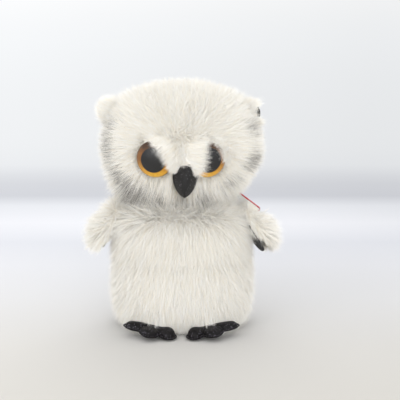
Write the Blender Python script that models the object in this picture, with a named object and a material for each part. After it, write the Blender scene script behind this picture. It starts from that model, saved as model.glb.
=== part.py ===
"""Small plush owl: long white pile sewn in panels, stuffed, with plastic eyes, cloth feet and a swing tag.

Metres, +Z up. The owl stands on the origin and faces -Y, so its left wing, ear and foot are at +X
and its right ones at -X.
"""
import math

import bmesh
import bpy
from mathutils import Matrix, Vector

MM = 0.001

# Gaps and cuts
GAP = 0.3 * MM                  # air between two pieces that touch
FILL_GAP = 0.5 * MM             # air between the torso's skin and what fills it
CUT_OVERRUN = 6 * MM            # how far a cutter passes a surface
MERGE_DISTANCE = 0.0003 * MM    # points nearer than this are one point
SHARP_ANGLE = math.radians(40)  # edges steeper than this stay crisp

# Torso, measured over the pile
TORSO_HALF_WIDTH = 42 * MM
TORSO_HALF_DEPTH = 35 * MM
TORSO_HEIGHT = 79 * MM
TORSO_EDGE_LIFT = 0.5 * MM      # lower edge of the panels above the floor
TORSO_PILE = 7 * MM             # backing and pile together
TORSO_SEAM_PILE = 2.6 * MM      # the same, pressed flat in the base seam
TORSO_SQUARENESS = 2.4          # exponent of the plan's superellipse
TORSO_OUTLINE_SHARES = (        # share of the half width, share of the height
    (0.70, 0.000), (0.81, 0.018), (0.905, 0.068), (0.970, 0.150), (1.000, 0.290), (0.995, 0.470),
    (0.975, 0.640), (0.925, 0.790), (0.815, 0.888), (0.615, 0.950), (0.420, 0.981), (0.200, 1.000))
TORSO_PILE_SHARES = (           # share along the outline, share of the full pile
    (0.0, 0.0), (0.22, 1.0), (1.0, 1.0))

# Base panel and pellets
BASE_PANEL_THICKNESS = TORSO_EDGE_LIFT + TORSO_SEAM_PILE
PELLET_HEIGHT = 26 * MM         # top of the pellet bag above the floor

# Head, measured over the pile from its centre
NECK_RISE = 30 * MM             # from the top of the torso to the head's centre
HEAD_CENTRE_HEIGHT = TORSO_HEIGHT + NECK_RISE
HEAD_HALF_WIDTH = 45.5 * MM
HEAD_HALF_DEPTH = 38 * MM
HEAD_HALF_HEIGHT = 37 * MM
HEAD_SQUARENESS = 2.2
HEAD_PILE = 8 * MM
HEAD_FILL_GAP = 0.8 * MM        # air between the head's skin and its stuffing

# Neck: the head's underside is a ball that rolls in a dish on top of the torso
NECK_BALL_RADIUS = 36 * MM
NECK_BALL_END = math.radians(42)     # from straight down, where the ball starts to widen
NECK_BLEND_END = math.radians(70)    # where it has reached the head's own form
NECK_CORE_RADIUS = 12.5 * MM         # stuffing that passes through the neck
COLLAR_WIDTH = 3.4 * MM
COLLAR_DEPTH = 4.6 * MM

# Eyes
EYE_SPREAD = 16 * MM            # from the head's middle plane
EYE_DROP = 4 * MM               # below the head's centre
EYE_RADIUS = 11 * MM
EYE_DOME_HEIGHT = 6.4 * MM
EYE_RIM_HEIGHT = 1.2 * MM
EYE_SINK = 5.2 * MM             # back of the dome below the pile surface
PUPIL_RADIUS = 8.2 * MM
PUPIL_THICKNESS = 1.4 * MM
POST_RADIUS = 1.9 * MM
POST_LENGTH = 9 * MM
WASHER_RADIUS = 6.6 * MM
WASHER_THICKNESS = 1.2 * MM
WASHER_DEPTH = 4.1 * MM         # washer's face behind the back of the dome

# Beak
BEAK_DROP = 6 * MM              # top of the beak below the head's centre
BEAK_HEIGHT = 19 * MM
BEAK_HALF_WIDTH = 7 * MM
BEAK_REACH = 7.5 * MM           # in front of the pile surface
BEAK_ROOT = 4.5 * MM            # behind it
BEAK_OUTLINE_SHARES = (         # share of height down, share of half width, share of reach
    (0.00, 0.50, 0.25), (0.12, 0.82, 0.55), (0.30, 1.00, 0.82), (0.50, 0.88, 1.00),
    (0.70, 0.62, 1.00), (0.86, 0.36, 0.86), (0.96, 0.18, 0.62), (1.00, 0.08, 0.45))
BEAK_RIDGE_POWER = 1.6          # the higher, the flatter the sides fall from the ridge

# Ears
EAR_LIFT = math.radians(26)     # above the horizontal, about the head's centre
EAR_HALF_WIDTH = 10 * MM
EAR_LENGTH = 11 * MM
EAR_TAPER_POWER = 2.2
EAR_TIP_SHARE = 0.33            # how far forward the tip lies, of the ear's thickness
EAR_FRONT = 4.5 * MM
EAR_BACK = 0.8 * MM
EAR_LINING_THICKNESS = 1.0 * MM
EAR_CUP = 2.5 * MM
EAR_ROOT = 6 * MM               # runs this far into the head before it is trimmed

# Section of an ear or a wing: domed in front, flat behind
FLAP_FRONT_SHARE = 0.65         # of the points round it
FLAP_FRONT_POWER = 0.8
FLAP_BACK_POWER = 0.35

# Wings
WING_ROOT_SINK = 2.5 * MM       # hinge line inside the torso's widest reach
WING_ROOT_DROP = 11 * MM        # and below the torso's top
WING_ROOT_SPREAD = TORSO_HALF_WIDTH - WING_ROOT_SINK
WING_ROOT_HEIGHT = TORSO_HEIGHT - WING_ROOT_DROP
WING_ROOT_RADIUS = 4.5 * MM
WING_ROOT_HALF_WIDTH = 11.5 * MM
WING_HALF_WIDTH = 14.5 * MM
WING_LENGTH = 32 * MM
WING_FRONT = 5.5 * MM
WING_BACK = 2.2 * MM
WING_LINING_THICKNESS = 1.0 * MM
WING_LINING_MARGIN = 3 * MM
WING_LINING_END = 1.0 * MM      # least half width of the lining
WING_LINING_START_SHARE = 0.25  # of the length, from the hinge
WING_CUP = 2.5 * MM
WING_TAPER_POWER = 3
WING_TIP_SHARE = 0.25           # how far out the tip lies, of the wing's thickness
WING_ROOT_STATION_SHARES = (0.3, 0.6, 0.9)      # of a quarter turn round the hinge
WING_WIDEN_RATE = 2             # how soon it reaches its width, its swell and its flat back
WING_SWELL_RATE = 2.5
WING_FLATTEN_RATE = 4
WING_LEAN_RIGHT = math.radians(32)   # out from straight down
WING_LEAN_LEFT = math.radians(36)
WING_TWIST_RIGHT = math.radians(-6)  # turns the tip about its length, + shows the lining in front
WING_TWIST_LEFT = math.radians(22)

# Feet
FOOT_SPREAD = 17 * MM
FOOT_TUCK = 4.3 * MM            # heel seam inside the torso's deepest reach
FOOT_FORWARD = TORSO_HALF_DEPTH - FOOT_TUCK
FOOT_SPLAY = math.radians(12)
FOOT_ROLL = math.radians(10)
FOOT_LENGTH = 18 * MM
FOOT_HALF_WIDTH = 15.5 * MM
FOOT_HEIGHT = 4.4 * MM
FOOT_CLOTH = 0.8 * MM
FOOT_RIM = 1.7 * MM             # height of the upper's edge over the sole
FOOT_RISE_SHARES = (0.0, 0.45, 0.85, 0.98)      # of the puff, ring by ring from the edge
FOOT_OUTER_SHARES = (1.0, 0.9, 0.7, 0.4)        # size of those rings on the upper
FOOT_INNER_SHARES = (0.91, 0.82, 0.65, 0.37)    # inside the upper
FOOT_PAD_SHARES = (0.70, 0.60, 0.45, 0.24)      # on the batting
FOOT_OUTLINE_SHARES = (         # share of half width (+ outer side), share of length
    (-0.60, 0.00), (-0.86, 0.26), (-0.97, 0.50), (-0.74, 0.62), (-0.44, 0.60), (-0.30, 0.82), (-0.04, 1.00),
    (0.22, 0.84), (0.42, 0.58), (0.70, 0.54), (1.00, 0.42), (0.96, 0.16), (0.62, 0.00), (0.00, -0.04))

# Swing tag, hung on the neck seam behind the left wing
TAG_SEAM_TURN = math.radians(42)        # place of the fastener round the torso, from the left side
TAG_SEAM_CLEARANCE = 5 * MM             # from there up to the head
TAG_FACING = math.radians(75)           # way that the card faces, from the left side
TAG_SLOPE = math.radians(30)            # and upwards
TAG_SIDE_STEP = 13 * MM                 # from the seam to the card's hole, level
TAG_DROP = 6 * MM                       # and down the slope
TAG_WIDTH = 20 * MM
TAG_LENGTH = 26 * MM
TAG_THICKNESS = 0.5 * MM
TAG_CORNER = 2 * MM
TAG_HOLE_INSET = 3.5 * MM
TAG_HOLE_RADIUS = 1.4 * MM
TAG_CORNER_STEPS = 3
TAG_HOLE_STEPS = 12
TAG_TURN = math.radians(45)     # long edge from the slope's fall line
FASTENER_RADIUS = 0.45 * MM
FASTENER_BAR = 5 * MM
FASTENER_BAR_RADIUS = 0.54 * MM
FASTENER_RISE = 3 * MM          # leaves the seam this high before it turns
FASTENER_BOW = 1.5 * MM         # out of the straight line, at its middle
FASTENER_END = 1.2 * MM         # runs square to the card from here

# Care label at the back
LABEL_HEIGHT = 16 * MM
LABEL_WIDTH = 10 * MM
LABEL_LENGTH = 13 * MM
LABEL_THICKNESS = 0.4 * MM
LABEL_FOLD = 0.5 * MM
LABEL_DROOP = math.radians(38)

# Fineness of the forms
FORM_COLUMNS = 28
TORSO_ROWS = 13
HEAD_ROWS = 9
TURN_STEPS = 28
BALL_STEPS = 48
FLAP_STATIONS = 9
FLAP_COLUMNS = 18
TOE_COLUMNS = 42
BEAK_COLUMNS = 14
EYE_STEPS = 7
BAR_SIDES = 8
PLUG_STEPS = 4
SEARCH_STEPS = 30

HEAD_CENTRE = Vector((0, 0, HEAD_CENTRE_HEIGHT))
TAG_NORMAL = Vector((math.cos(TAG_SLOPE) * math.cos(TAG_FACING), math.cos(TAG_SLOPE) * math.sin(TAG_FACING),
                     math.sin(TAG_SLOPE)))
FRONT = Vector((0, -1, 0))
UP = Vector((0, 0, 1))


def start_empty():
    """Remove whatever the file holds."""
    for item in list(bpy.data.objects):
        bpy.data.objects.remove(item, do_unlink=True)


def finish(name, colour, roughness, metallic=0.0):
    """A plain Principled material."""
    made = bpy.data.materials.new(name)
    made.use_nodes = True
    shader = made.node_tree.nodes["Principled BSDF"]
    shader.inputs["Base Color"].default_value = (*colour, 1.0)
    shader.inputs["Roughness"].default_value = roughness
    shader.inputs["Metallic"].default_value = metallic
    return made


def add_object(name, mesh_data, material, smooth=True):
    """Turn a bmesh into a named object with its faces pointing out."""
    bmesh.ops.remove_doubles(mesh_data, verts=mesh_data.verts, dist=MERGE_DISTANCE)
    bmesh.ops.recalc_face_normals(mesh_data, faces=mesh_data.faces)
    mesh = bpy.data.meshes.new(name)
    mesh_data.to_mesh(mesh)
    mesh_data.free()
    if smooth:
        mesh.shade_smooth()
        mesh.set_sharp_from_angle(angle=SHARP_ANGLE)
    made = bpy.data.objects.new(name, mesh)
    bpy.context.scene.collection.objects.link(made)
    if material:
        mesh.materials.append(material)
    return made


def loft(rows, closed_columns=True, closed_rows=False):
    """Skin rows of points. A row of one point is a pole."""
    made = bmesh.new()
    loops = [[made.verts.new(point) for point in row] for row in rows]
    pairs = list(zip(loops, loops[1:]))
    if closed_rows:
        pairs.append((loops[-1], loops[0]))
    for low, high in pairs:
        count = max(len(low), len(high))
        for index in range(count if closed_columns else count - 1):
            after = (index + 1) % count
            ring = [low[index % len(low)], low[after % len(low)],
                    high[after % len(high)], high[index % len(high)]]
            made.faces.new(list(dict.fromkeys(ring)))
    return made, loops


def panel_between(outer, inner):
    """A closed panel between two grids of points that match row by row, open at both column ends."""
    made, loops = loft(outer + inner[::-1], closed_columns=False, closed_rows=True)
    count = len(outer)
    for end in (0, -1):
        for row in range(count - 1):
            ring = [loops[row][end], loops[row + 1][end],
                    loops[2 * count - 2 - row][end], loops[2 * count - 1 - row][end]]
            made.faces.new(ring)
    return made


def capped_loft(rows):
    """A closed form from rings of points, with a flat end wherever the end row isn't a pole."""
    made, loops = loft(rows)
    for ring in (loops[0], loops[-1]):
        if len(ring) > 1:
            made.faces.new(ring)
    return made


def turned(outline, steps=TURN_STEPS, closed=False):
    """Turn an outline of (radius, height) round Z. A radius of zero is a pole."""
    rows = []
    for radius, height in outline:
        if radius == 0:
            rows.append([Vector((0, 0, height))])
        else:
            rows.append([Vector((radius * math.cos(angle), radius * math.sin(angle), height))
                         for angle in (math.tau * step / steps for step in range(steps))])
    made, _ = loft(rows, closed_rows=closed)
    return made


def curve_point(points, share):
    """Smooth curve through the points, read at a share of the way along them."""
    spans = len(points) - 1
    place = min(max(share, 0.0), 1.0) * spans
    start = min(int(place), spans - 1)
    t = place - start
    first, last = points[start], points[start + 1]
    before = points[start - 1] if start > 0 else [2 * a - b for a, b in zip(first, last)]
    after = points[start + 2] if start + 2 <= spans else [2 * b - a for a, b in zip(first, last)]
    return [0.5 * (2 * q + (r - p) * t + (2 * p - 5 * q + 4 * r - s) * t * t
                   + (3 * q - p - 3 * r + s) * t ** 3)
            for p, q, r, s in zip(before, first, last, after)]


def table_value(table, share):
    """Straight-line reading of a table of (share, value)."""
    for (low, low_value), (high, high_value) in zip(table, table[1:]):
        if share <= high:
            return low_value + (high_value - low_value) * (share - low) / (high - low)
    return table[-1][1]


def ease(share):
    """Smooth step from 0 to 1."""
    held = min(max(share, 0.0), 1.0)
    return held * held * (3 - 2 * held)


def signed_power(value, power):
    return math.copysign(abs(value) ** power, value)


def cut(target, tool, operation="DIFFERENCE"):
    """Take the tool's form away from the target, or add it."""
    modifier = target.modifiers.new(tool.name, "BOOLEAN")
    modifier.operation = operation
    modifier.solver = "EXACT"
    modifier.object = tool


def as_tool(tool):
    """Keep a helper form out of the model."""
    tool.hide_render = True
    tool.display_type = "WIRE"
    return tool


def frame_at(origin, z_axis, x_hint):
    """Placement with its Z along z_axis and its X near x_hint."""
    z_axis = z_axis.normalized()
    y_axis = z_axis.cross(x_hint).normalized()
    x_axis = y_axis.cross(z_axis)
    rotation = Matrix((x_axis, y_axis, z_axis)).transposed().to_4x4()
    return Matrix.Translation(origin) @ rotation


def add_joint(name, placement, parent=None):
    """An empty on a joint's axis, which carries the pieces that move."""
    made = bpy.data.objects.new(name, None)
    made.empty_display_size = FOOT_LENGTH
    bpy.context.scene.collection.objects.link(made)
    made.matrix_world = placement
    if parent:
        made.parent = parent
        made.matrix_parent_inverse = parent.matrix_world.inverted()
    return made


def carry(piece, joint, world=True):
    """Parent a piece to its joint; its mesh is in world places or in the joint's own frame."""
    piece.parent = joint
    if world:
        piece.matrix_parent_inverse = joint.matrix_world.inverted()


def torso_outline(share, depth_share=0.0):
    """Radius share, height and inward step of the torso's outline, at a share of the way up it."""
    step = 0.5 / (TORSO_ROWS * len(TORSO_OUTLINE_SHARES))
    radius, height = curve_point(TORSO_OUTLINE_SHARES, share)
    low = curve_point(TORSO_OUTLINE_SHARES, share - step)
    high = curve_point(TORSO_OUTLINE_SHARES, share + step)
    along = Vector(((high[0] - low[0]) * TORSO_HALF_WIDTH, (high[1] - low[1]) * TORSO_HEIGHT)).normalized()
    full = TORSO_SEAM_PILE + (TORSO_PILE - TORSO_SEAM_PILE) * ease(table_value(TORSO_PILE_SHARES, share))
    inward = Vector((-along.y, along.x)) * full * depth_share
    return radius, TORSO_EDGE_LIFT + height * (TORSO_HEIGHT - TORSO_EDGE_LIFT), inward


def torso_point(turn, share, depth_share=0.0, extra=0.0):
    """Point of the torso's form: 0 deep is the pile surface, 1 the inside of the backing."""
    radius, height, inward = torso_outline(share, depth_share)
    if depth_share:
        inward += inward.normalized() * extra
    power = 2 / TORSO_SQUARENESS
    across = (radius * TORSO_HALF_WIDTH + inward.x) * signed_power(math.cos(turn), power)
    along = (radius * TORSO_HALF_DEPTH + inward.x) * signed_power(math.sin(turn), power)
    return Vector((across, along, height + inward.y))


def torso_panel(name, start, end, material):
    """One panel of the torso's skin between two seams, given as turns about Z."""
    columns = round(FORM_COLUMNS * (end - start) / math.tau)
    shares = [row / (TORSO_ROWS - 1) for row in range(TORSO_ROWS)]
    grids = []
    for depth_share in (0.0, 1.0):
        grid = []
        for share in shares:
            radius = torso_outline(share)[0] * TORSO_HALF_DEPTH
            margin = math.asin(min(1.0, GAP / 2 / radius))
            turns = [start + margin + (end - start - 2 * margin) * column / columns
                     for column in range(columns + 1)]
            grid.append([torso_point(turn, share, depth_share) for turn in turns])
        grids.append(grid)
    return add_object(name, panel_between(*grids), material)


def filling_share(height):
    """Share up the outline at which the filling has this height."""
    low, high = 0.0, 1.0
    for _ in range(SEARCH_STEPS):
        middle = (low + high) / 2
        if torso_point(0, middle, 1.0, FILL_GAP).z < height:
            low = middle
        else:
            high = middle
    return low


def torso_filling(name, low, high, material):
    """A slice of what fills the torso, between two heights, clear of the backing all round."""
    start, end = filling_share(low), filling_share(high)
    between = [row / (TORSO_ROWS - 1) for row in range(TORSO_ROWS)]
    shares = [start] + [share for share in between if start < share < end] + [end]
    rings = [[torso_point(math.tau * column / FORM_COLUMNS, share, 1.0, FILL_GAP)
              for column in range(FORM_COLUMNS)] for share in shares]
    for ring, level in ((rings[0], low), (rings[-1], high)):
        for point in ring:
            point.z = level
    return add_object(name, capped_loft(rings), material)


def head_radius(direction, inset=0.0):
    """Distance of the head's surface from its centre along a direction."""
    x, y, z = direction.normalized()
    form = (abs(x / HEAD_HALF_WIDTH) ** HEAD_SQUARENESS + abs(y / HEAD_HALF_DEPTH) ** HEAD_SQUARENESS
            + abs(z / HEAD_HALF_HEIGHT) ** HEAD_SQUARENESS) ** (-1 / HEAD_SQUARENESS)
    off_bottom = math.acos(min(1.0, max(-1.0, -z)))
    blend = ease((off_bottom - NECK_BALL_END) / (NECK_BLEND_END - NECK_BALL_END))
    return NECK_BALL_RADIUS + (form - NECK_BALL_RADIUS) * blend - inset


def head_point(direction, inset=0.0):
    return HEAD_CENTRE + direction.normalized() * head_radius(direction, inset)


def face_point(x, height, inset=0.0):
    """Point of the face's surface at a place seen from the front."""
    target = Vector((x, 0, height - HEAD_CENTRE_HEIGHT))
    low, high = 0.0, HEAD_HALF_DEPTH
    for _ in range(SEARCH_STEPS):
        middle = (low + high) / 2
        probe = Vector((target.x, -middle, target.z))
        if probe.length < head_radius(probe, inset):
            low = middle
        else:
            high = middle
    return HEAD_CENTRE + Vector((target.x, -low, target.z))


def head_rows(facing, inset, columns, end):
    """Rings of the head from the middle of the face, or of the back, out to the seam."""
    pole = Vector((0, facing, 0))
    rows = [[head_point(pole, inset)]]
    for row in range(1, HEAD_ROWS):
        polar = end * row / (HEAD_ROWS - 1)
        ring = []
        for column in range(columns):
            angle = math.tau * column / columns
            direction = Vector((math.sin(polar) * math.cos(angle), facing * math.cos(polar),
                                math.sin(polar) * math.sin(angle)))
            ring.append(head_point(direction, inset))
        rows.append(ring)
    return rows


def head_panel(name, facing, material):
    """Front or back half of the head's skin, with the seam in the plane through its centre."""
    end = math.pi / 2 - math.asin(GAP / 2 / NECK_BALL_RADIUS)
    outer = head_rows(facing, 0.0, FORM_COLUMNS, end)
    inner = head_rows(facing, HEAD_PILE, FORM_COLUMNS, end)
    made, _ = loft(outer + inner[::-1])
    return add_object(name, made, material)


def ball_height(radius, ball):
    """Height of a ball about the head's centre at a radius from the neck's axis."""
    return HEAD_CENTRE_HEIGHT - math.sqrt(ball * ball - radius * radius)


def eye_frame(side):
    """Placement of an eye: origin at the back of the dome, Z out of the face."""
    place = face_point(side * EYE_SPREAD, HEAD_CENTRE_HEIGHT - EYE_DROP)
    reach = EYE_RADIUS / 2
    over = face_point(place.x + reach, place.z) - face_point(place.x - reach, place.z)
    rise = face_point(place.x, place.z + reach) - face_point(place.x, place.z - reach)
    axis = over.cross(rise)
    return frame_at(place - axis.normalized() * EYE_SINK, axis, UP)


def eye_dome_outline():
    """Half section of the lens, from the middle of the dome out to its rim."""
    rise = EYE_DOME_HEIGHT - EYE_RIM_HEIGHT
    dome = [(EYE_RADIUS * math.sin(angle), EYE_RIM_HEIGHT + rise * math.cos(angle))
            for angle in (math.pi / 2 * step / EYE_STEPS for step in range(EYE_STEPS + 1))]
    dome[0] = (0, dome[0][1])
    return dome


def add_eye(side, label, head, panel, stuffing, lens, core_finish, washer_finish):
    """Lens, core with its post, and the locking washer; the skin and stuffing are cut to pass them."""
    frame = eye_frame(side)
    recess = PUPIL_RADIUS + GAP
    outline = eye_dome_outline() + [(EYE_RADIUS, 0), (recess, 0), (recess, PUPIL_THICKNESS + GAP),
                                    (0, PUPIL_THICKNESS + GAP)]
    dome = add_object(f"eye_{label}_lens", turned(outline), lens)
    outline = [(0, PUPIL_THICKNESS), (PUPIL_RADIUS, PUPIL_THICKNESS), (PUPIL_RADIUS, 0),
               (POST_RADIUS, 0), (POST_RADIUS, -POST_LENGTH), (0, -POST_LENGTH - POST_RADIUS / 2)]
    core = add_object(f"eye_{label}_core", turned(outline), core_finish)
    hole = POST_RADIUS + GAP
    outline = [(hole, -WASHER_DEPTH), (WASHER_RADIUS, -WASHER_DEPTH),
               (WASHER_RADIUS, -WASHER_DEPTH - WASHER_THICKNESS), (hole, -WASHER_DEPTH - WASHER_THICKNESS)]
    washer = add_object(f"eye_{label}_washer", turned(outline, closed=True), washer_finish)
    for piece in (dome, core, washer):
        piece.matrix_world = frame
        carry(piece, head)
    pocket = EYE_RADIUS + GAP
    outline = [(0, -POST_LENGTH), (hole, -POST_LENGTH), (hole, -GAP), (pocket, -GAP),
               (pocket, EYE_DOME_HEIGHT + CUT_OVERRUN), (0, EYE_DOME_HEIGHT + CUT_OVERRUN)]
    skin_tool = as_tool(add_object(f"cut_eye_{label}_skin", turned(outline), None))
    room = WASHER_RADIUS + GAP
    depth = POST_LENGTH + POST_RADIUS
    outline = [(0, -depth), (hole + GAP, -depth), (room, -WASHER_DEPTH - WASHER_THICKNESS - GAP),
               (room, 0), (0, 0)]
    stuffing_tool = as_tool(add_object(f"cut_eye_{label}_stuffing", turned(outline), None))
    for tool, target in ((skin_tool, panel), (stuffing_tool, stuffing)):
        tool.matrix_world = frame
        carry(tool, head)
        cut(target, tool)


def beak_form(name, grow, material):
    """The beak, or the pocket for it: sections from its top to its point, with a ridge down the front."""
    rows = []
    for down, half_share, reach_share in BEAK_OUTLINE_SHARES:
        height = HEAD_CENTRE_HEIGHT - BEAK_DROP - down * BEAK_HEIGHT
        half_width = BEAK_HALF_WIDTH * half_share + grow
        reach = BEAK_REACH * reach_share + BEAK_ROOT + grow
        rows.append((height, half_width, reach))
    if grow:
        rows[0] = (rows[0][0] + grow, *rows[0][1:])
        rows[-1] = (rows[-1][0] - grow, *rows[-1][1:])
    back = face_point(0, HEAD_CENTRE_HEIGHT - BEAK_DROP - BEAK_HEIGHT / 2).y + BEAK_ROOT + grow
    rings = []
    for height, half_width, reach in rows:
        ring = []
        for column in range(BEAK_COLUMNS):
            angle = math.pi * column / (BEAK_COLUMNS - 1)
            ridge = 1 - abs(math.cos(angle)) ** BEAK_RIDGE_POWER
            ring.append(Vector((half_width * math.cos(angle), back - reach * ridge, height)))
        rings.append(ring)
    return add_object(name, capped_loft(rings), material)


def flap_rings(stations, bend):
    """D-shaped rings of a flap. Stations give (place along it, half width, thickness front, back)."""
    rings = []
    front_columns = round(FLAP_COLUMNS * FLAP_FRONT_SHARE)
    back_columns = FLAP_COLUMNS - front_columns
    for along, half_width, front, back in stations:
        ring = []
        for column in range(front_columns):
            angle = math.pi * column / front_columns
            out = front * signed_power(math.sin(angle), FLAP_FRONT_POWER)
            ring.append(bend(along, half_width * math.cos(angle), out))
        for column in range(back_columns):
            angle = math.pi * column / back_columns
            out = -back * signed_power(math.sin(angle), FLAP_BACK_POWER)
            ring.append(bend(along, -half_width * math.cos(angle), out))
        rings.append(ring)
    return rings


def add_ear(side, label, head, head_tool, pile, lining_finish):
    """An ear tuft and its lining, trimmed by the head that they are sewn to."""
    outward = Vector((side * math.cos(EAR_LIFT), 0, math.sin(EAR_LIFT)))
    across = Vector((-side * math.sin(EAR_LIFT), 0, math.cos(EAR_LIFT)))
    base = head_radius(outward)

    def bend(along, over, out):
        cup = EAR_CUP * (over / EAR_HALF_WIDTH) ** 2
        return HEAD_CENTRE + outward * (base + along) + across * over + FRONT * (out + cup)

    stations = []
    lining_stations = []
    for step in range(FLAP_STATIONS):
        share = step / FLAP_STATIONS
        along = -EAR_ROOT + (EAR_LENGTH + EAR_ROOT) * math.sin(math.pi / 2 * share)
        taper = math.sqrt(max(0.0, 1 - (max(along, 0.0) / EAR_LENGTH) ** EAR_TAPER_POWER))
        stations.append((along, EAR_HALF_WIDTH * taper, EAR_FRONT * math.sqrt(taper), EAR_BACK * taper))
        lining_stations.append((along, (EAR_HALF_WIDTH - EAR_BACK) * taper))
    rings = flap_rings(stations, bend)
    rings.append([bend(EAR_LENGTH, 0, EAR_FRONT * EAR_TIP_SHARE)])
    tuft = add_object(f"ear_{label}_tuft", capped_loft(rings), pile)
    middle = EAR_BACK + GAP + EAR_LINING_THICKNESS / 2
    thin = EAR_LINING_THICKNESS / 2
    rings = flap_rings([(along, half, thin, thin) for along, half in lining_stations],
                       lambda along, over, out: bend(along, over, out - middle))
    rings.append([bend(EAR_LENGTH - EAR_BACK, 0, -middle)])
    lining = add_object(f"ear_{label}_lining", capped_loft(rings), lining_finish)
    for piece in (tuft, lining):
        cut(piece, head_tool)
        carry(piece, head)


def wing_axis(side, lean):
    """Hinge point, direction along the wing and outward normal of a wing."""
    root = Vector((side * WING_ROOT_SPREAD, 0, WING_ROOT_HEIGHT))
    along = Vector((side * math.sin(lean), 0, -math.cos(lean)))
    outward = Vector((side * math.cos(lean), 0, math.sin(lean)))
    return root, along, outward


def add_wing(side, label, lean, twist, panels, pile, lining_finish):
    """A wing of pile with its lining, on a hinge along the shoulder seam."""
    root, down, outward = wing_axis(side, lean)
    joint = add_joint(f"joint_wing_{label}", Matrix.Translation(root))

    def bend(along, over, out):
        reach = max(along, 0.0) / WING_LENGTH
        cup = -WING_CUP * reach ** 2 - WING_CUP * reach * (over / WING_HALF_WIDTH) ** 2
        return root + down * along + FRONT * over + outward * (out + cup + over * math.tan(twist) * reach)

    stations = []
    for share in WING_ROOT_STATION_SHARES:
        along = -WING_ROOT_RADIUS * math.cos(math.pi / 2 * share)
        thick = math.sqrt(WING_ROOT_RADIUS ** 2 - along ** 2)
        stations.append((along, WING_ROOT_HALF_WIDTH, thick, thick))
    lining_stations = []
    for step in range(1, FLAP_STATIONS + 1):
        share = step / (FLAP_STATIONS + 1)
        along = WING_LENGTH * math.sin(math.pi / 2 * share)
        reach = along / WING_LENGTH
        taper = math.sqrt(max(0.0, 1 - reach ** WING_TAPER_POWER))
        widening = (WING_HALF_WIDTH - WING_ROOT_HALF_WIDTH) * ease(WING_WIDEN_RATE * reach)
        half_width = (WING_ROOT_HALF_WIDTH + widening) * taper
        swell = WING_ROOT_RADIUS + (WING_FRONT - WING_ROOT_RADIUS) * ease(WING_SWELL_RATE * reach)
        back = WING_ROOT_RADIUS + (WING_BACK - WING_ROOT_RADIUS) * ease(WING_FLATTEN_RATE * reach)
        stations.append((along, half_width, swell * math.sqrt(taper), back * math.sqrt(taper)))
        if reach > WING_LINING_START_SHARE:
            inner = max(half_width - WING_LINING_MARGIN, WING_LINING_END)
            lining_stations.append((along * (1 - WING_LINING_MARGIN / 2 / WING_LENGTH), inner))
    rings = flap_rings(stations, bend)
    rings.append([bend(WING_LENGTH, 0, WING_FRONT * WING_TIP_SHARE)])
    plush = add_object(f"wing_{label}_plush", capped_loft(rings), pile)
    thin = WING_LINING_THICKNESS / 2
    middle = WING_BACK + GAP + thin
    rings = flap_rings([(along, half, thin, thin) for along, half in lining_stations],
                       lambda along, over, out: bend(along, over, out - middle))
    lining = add_object(f"wing_{label}_lining", capped_loft(rings), lining_finish)
    groove = WING_ROOT_RADIUS + GAP
    reach = WING_ROOT_HALF_WIDTH + GAP
    outline = [(0, -reach), (groove, -reach), (groove, reach), (0, reach)]
    tool = as_tool(add_object(f"cut_wing_{label}", turned(outline), None))
    tool.matrix_world = frame_at(root, FRONT, UP)
    for panel in panels:
        cut(panel, tool)
    for piece in (plush, lining):
        carry(piece, joint)


def foot_outline(share, scale):
    """Point of the foot's outline as (sideways, forwards), closed, with three toes."""
    count = len(FOOT_OUTLINE_SHARES)
    place = (share % 1.0) * count
    start = int(place)
    four = [FOOT_OUTLINE_SHARES[(start + offset) % count] for offset in (-1, 0, 1, 2)]
    side, forward = curve_point(four, (1 + place - start) / 3)
    return side * FOOT_HALF_WIDTH * scale, forward * FOOT_LENGTH * scale


def add_foot(side, label, upper_finish, batting_finish, sole_finish):
    """A padded foot of three toes on a hinge at its heel seam."""
    heel = Vector((side * FOOT_SPREAD, -FOOT_FORWARD, 0))
    forward = Vector((side * math.sin(FOOT_SPLAY), -math.cos(FOOT_SPLAY), 0))
    sideways = Vector((side * math.cos(FOOT_SPLAY), math.sin(FOOT_SPLAY), 0))
    tilt = Matrix.Rotation(side * FOOT_ROLL, 3, forward)
    sideways_up = tilt @ sideways
    upright = tilt @ UP
    inner_edge = FOOT_HALF_WIDTH * math.sin(FOOT_ROLL)
    base = heel + UP * (inner_edge + GAP)
    joint = add_joint(f"joint_foot_{label}", Matrix.Translation(base + UP * FOOT_HEIGHT / 2))

    def ring(scale, height):
        middle = FOOT_LENGTH / 2 * (1 - scale)
        points = []
        for column in range(TOE_COLUMNS):
            over, ahead = foot_outline(column / TOE_COLUMNS, scale)
            points.append(base + sideways_up * over + forward * (ahead + middle) + upright * height)
        return points

    def centre(height):
        return base + forward * (FOOT_LENGTH / 2) + upright * height

    floor = FOOT_CLOTH
    rim = floor + GAP
    puff = FOOT_HEIGHT - rim - FOOT_RIM
    edge = rim + FOOT_RIM
    sole = add_object(f"foot_{label}_sole", capped_loft([ring(1.0, 0), ring(1.0, floor)]), sole_finish)

    def dome(scales, drop):
        rings = [ring(scale, edge + puff * rise - drop) for scale, rise in zip(scales, FOOT_RISE_SHARES)]
        return rings + [[centre(edge + puff - drop)]]

    outer = dome(FOOT_OUTER_SHARES, 0)
    inner = dome(FOOT_INNER_SHARES, FOOT_CLOTH)
    made, _ = loft(outer[::-1] + [ring(1.0, rim), ring(FOOT_INNER_SHARES[0], rim)] + inner)
    upper = add_object(f"foot_{label}_upper", made, upper_finish)
    pad = [ring(FOOT_PAD_SHARES[0], rim)] + dome(FOOT_PAD_SHARES, FOOT_CLOTH + GAP)
    batting = add_object(f"foot_{label}_batting", capped_loft(pad), batting_finish)
    for piece in (upper, batting, sole):
        carry(piece, joint)


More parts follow.
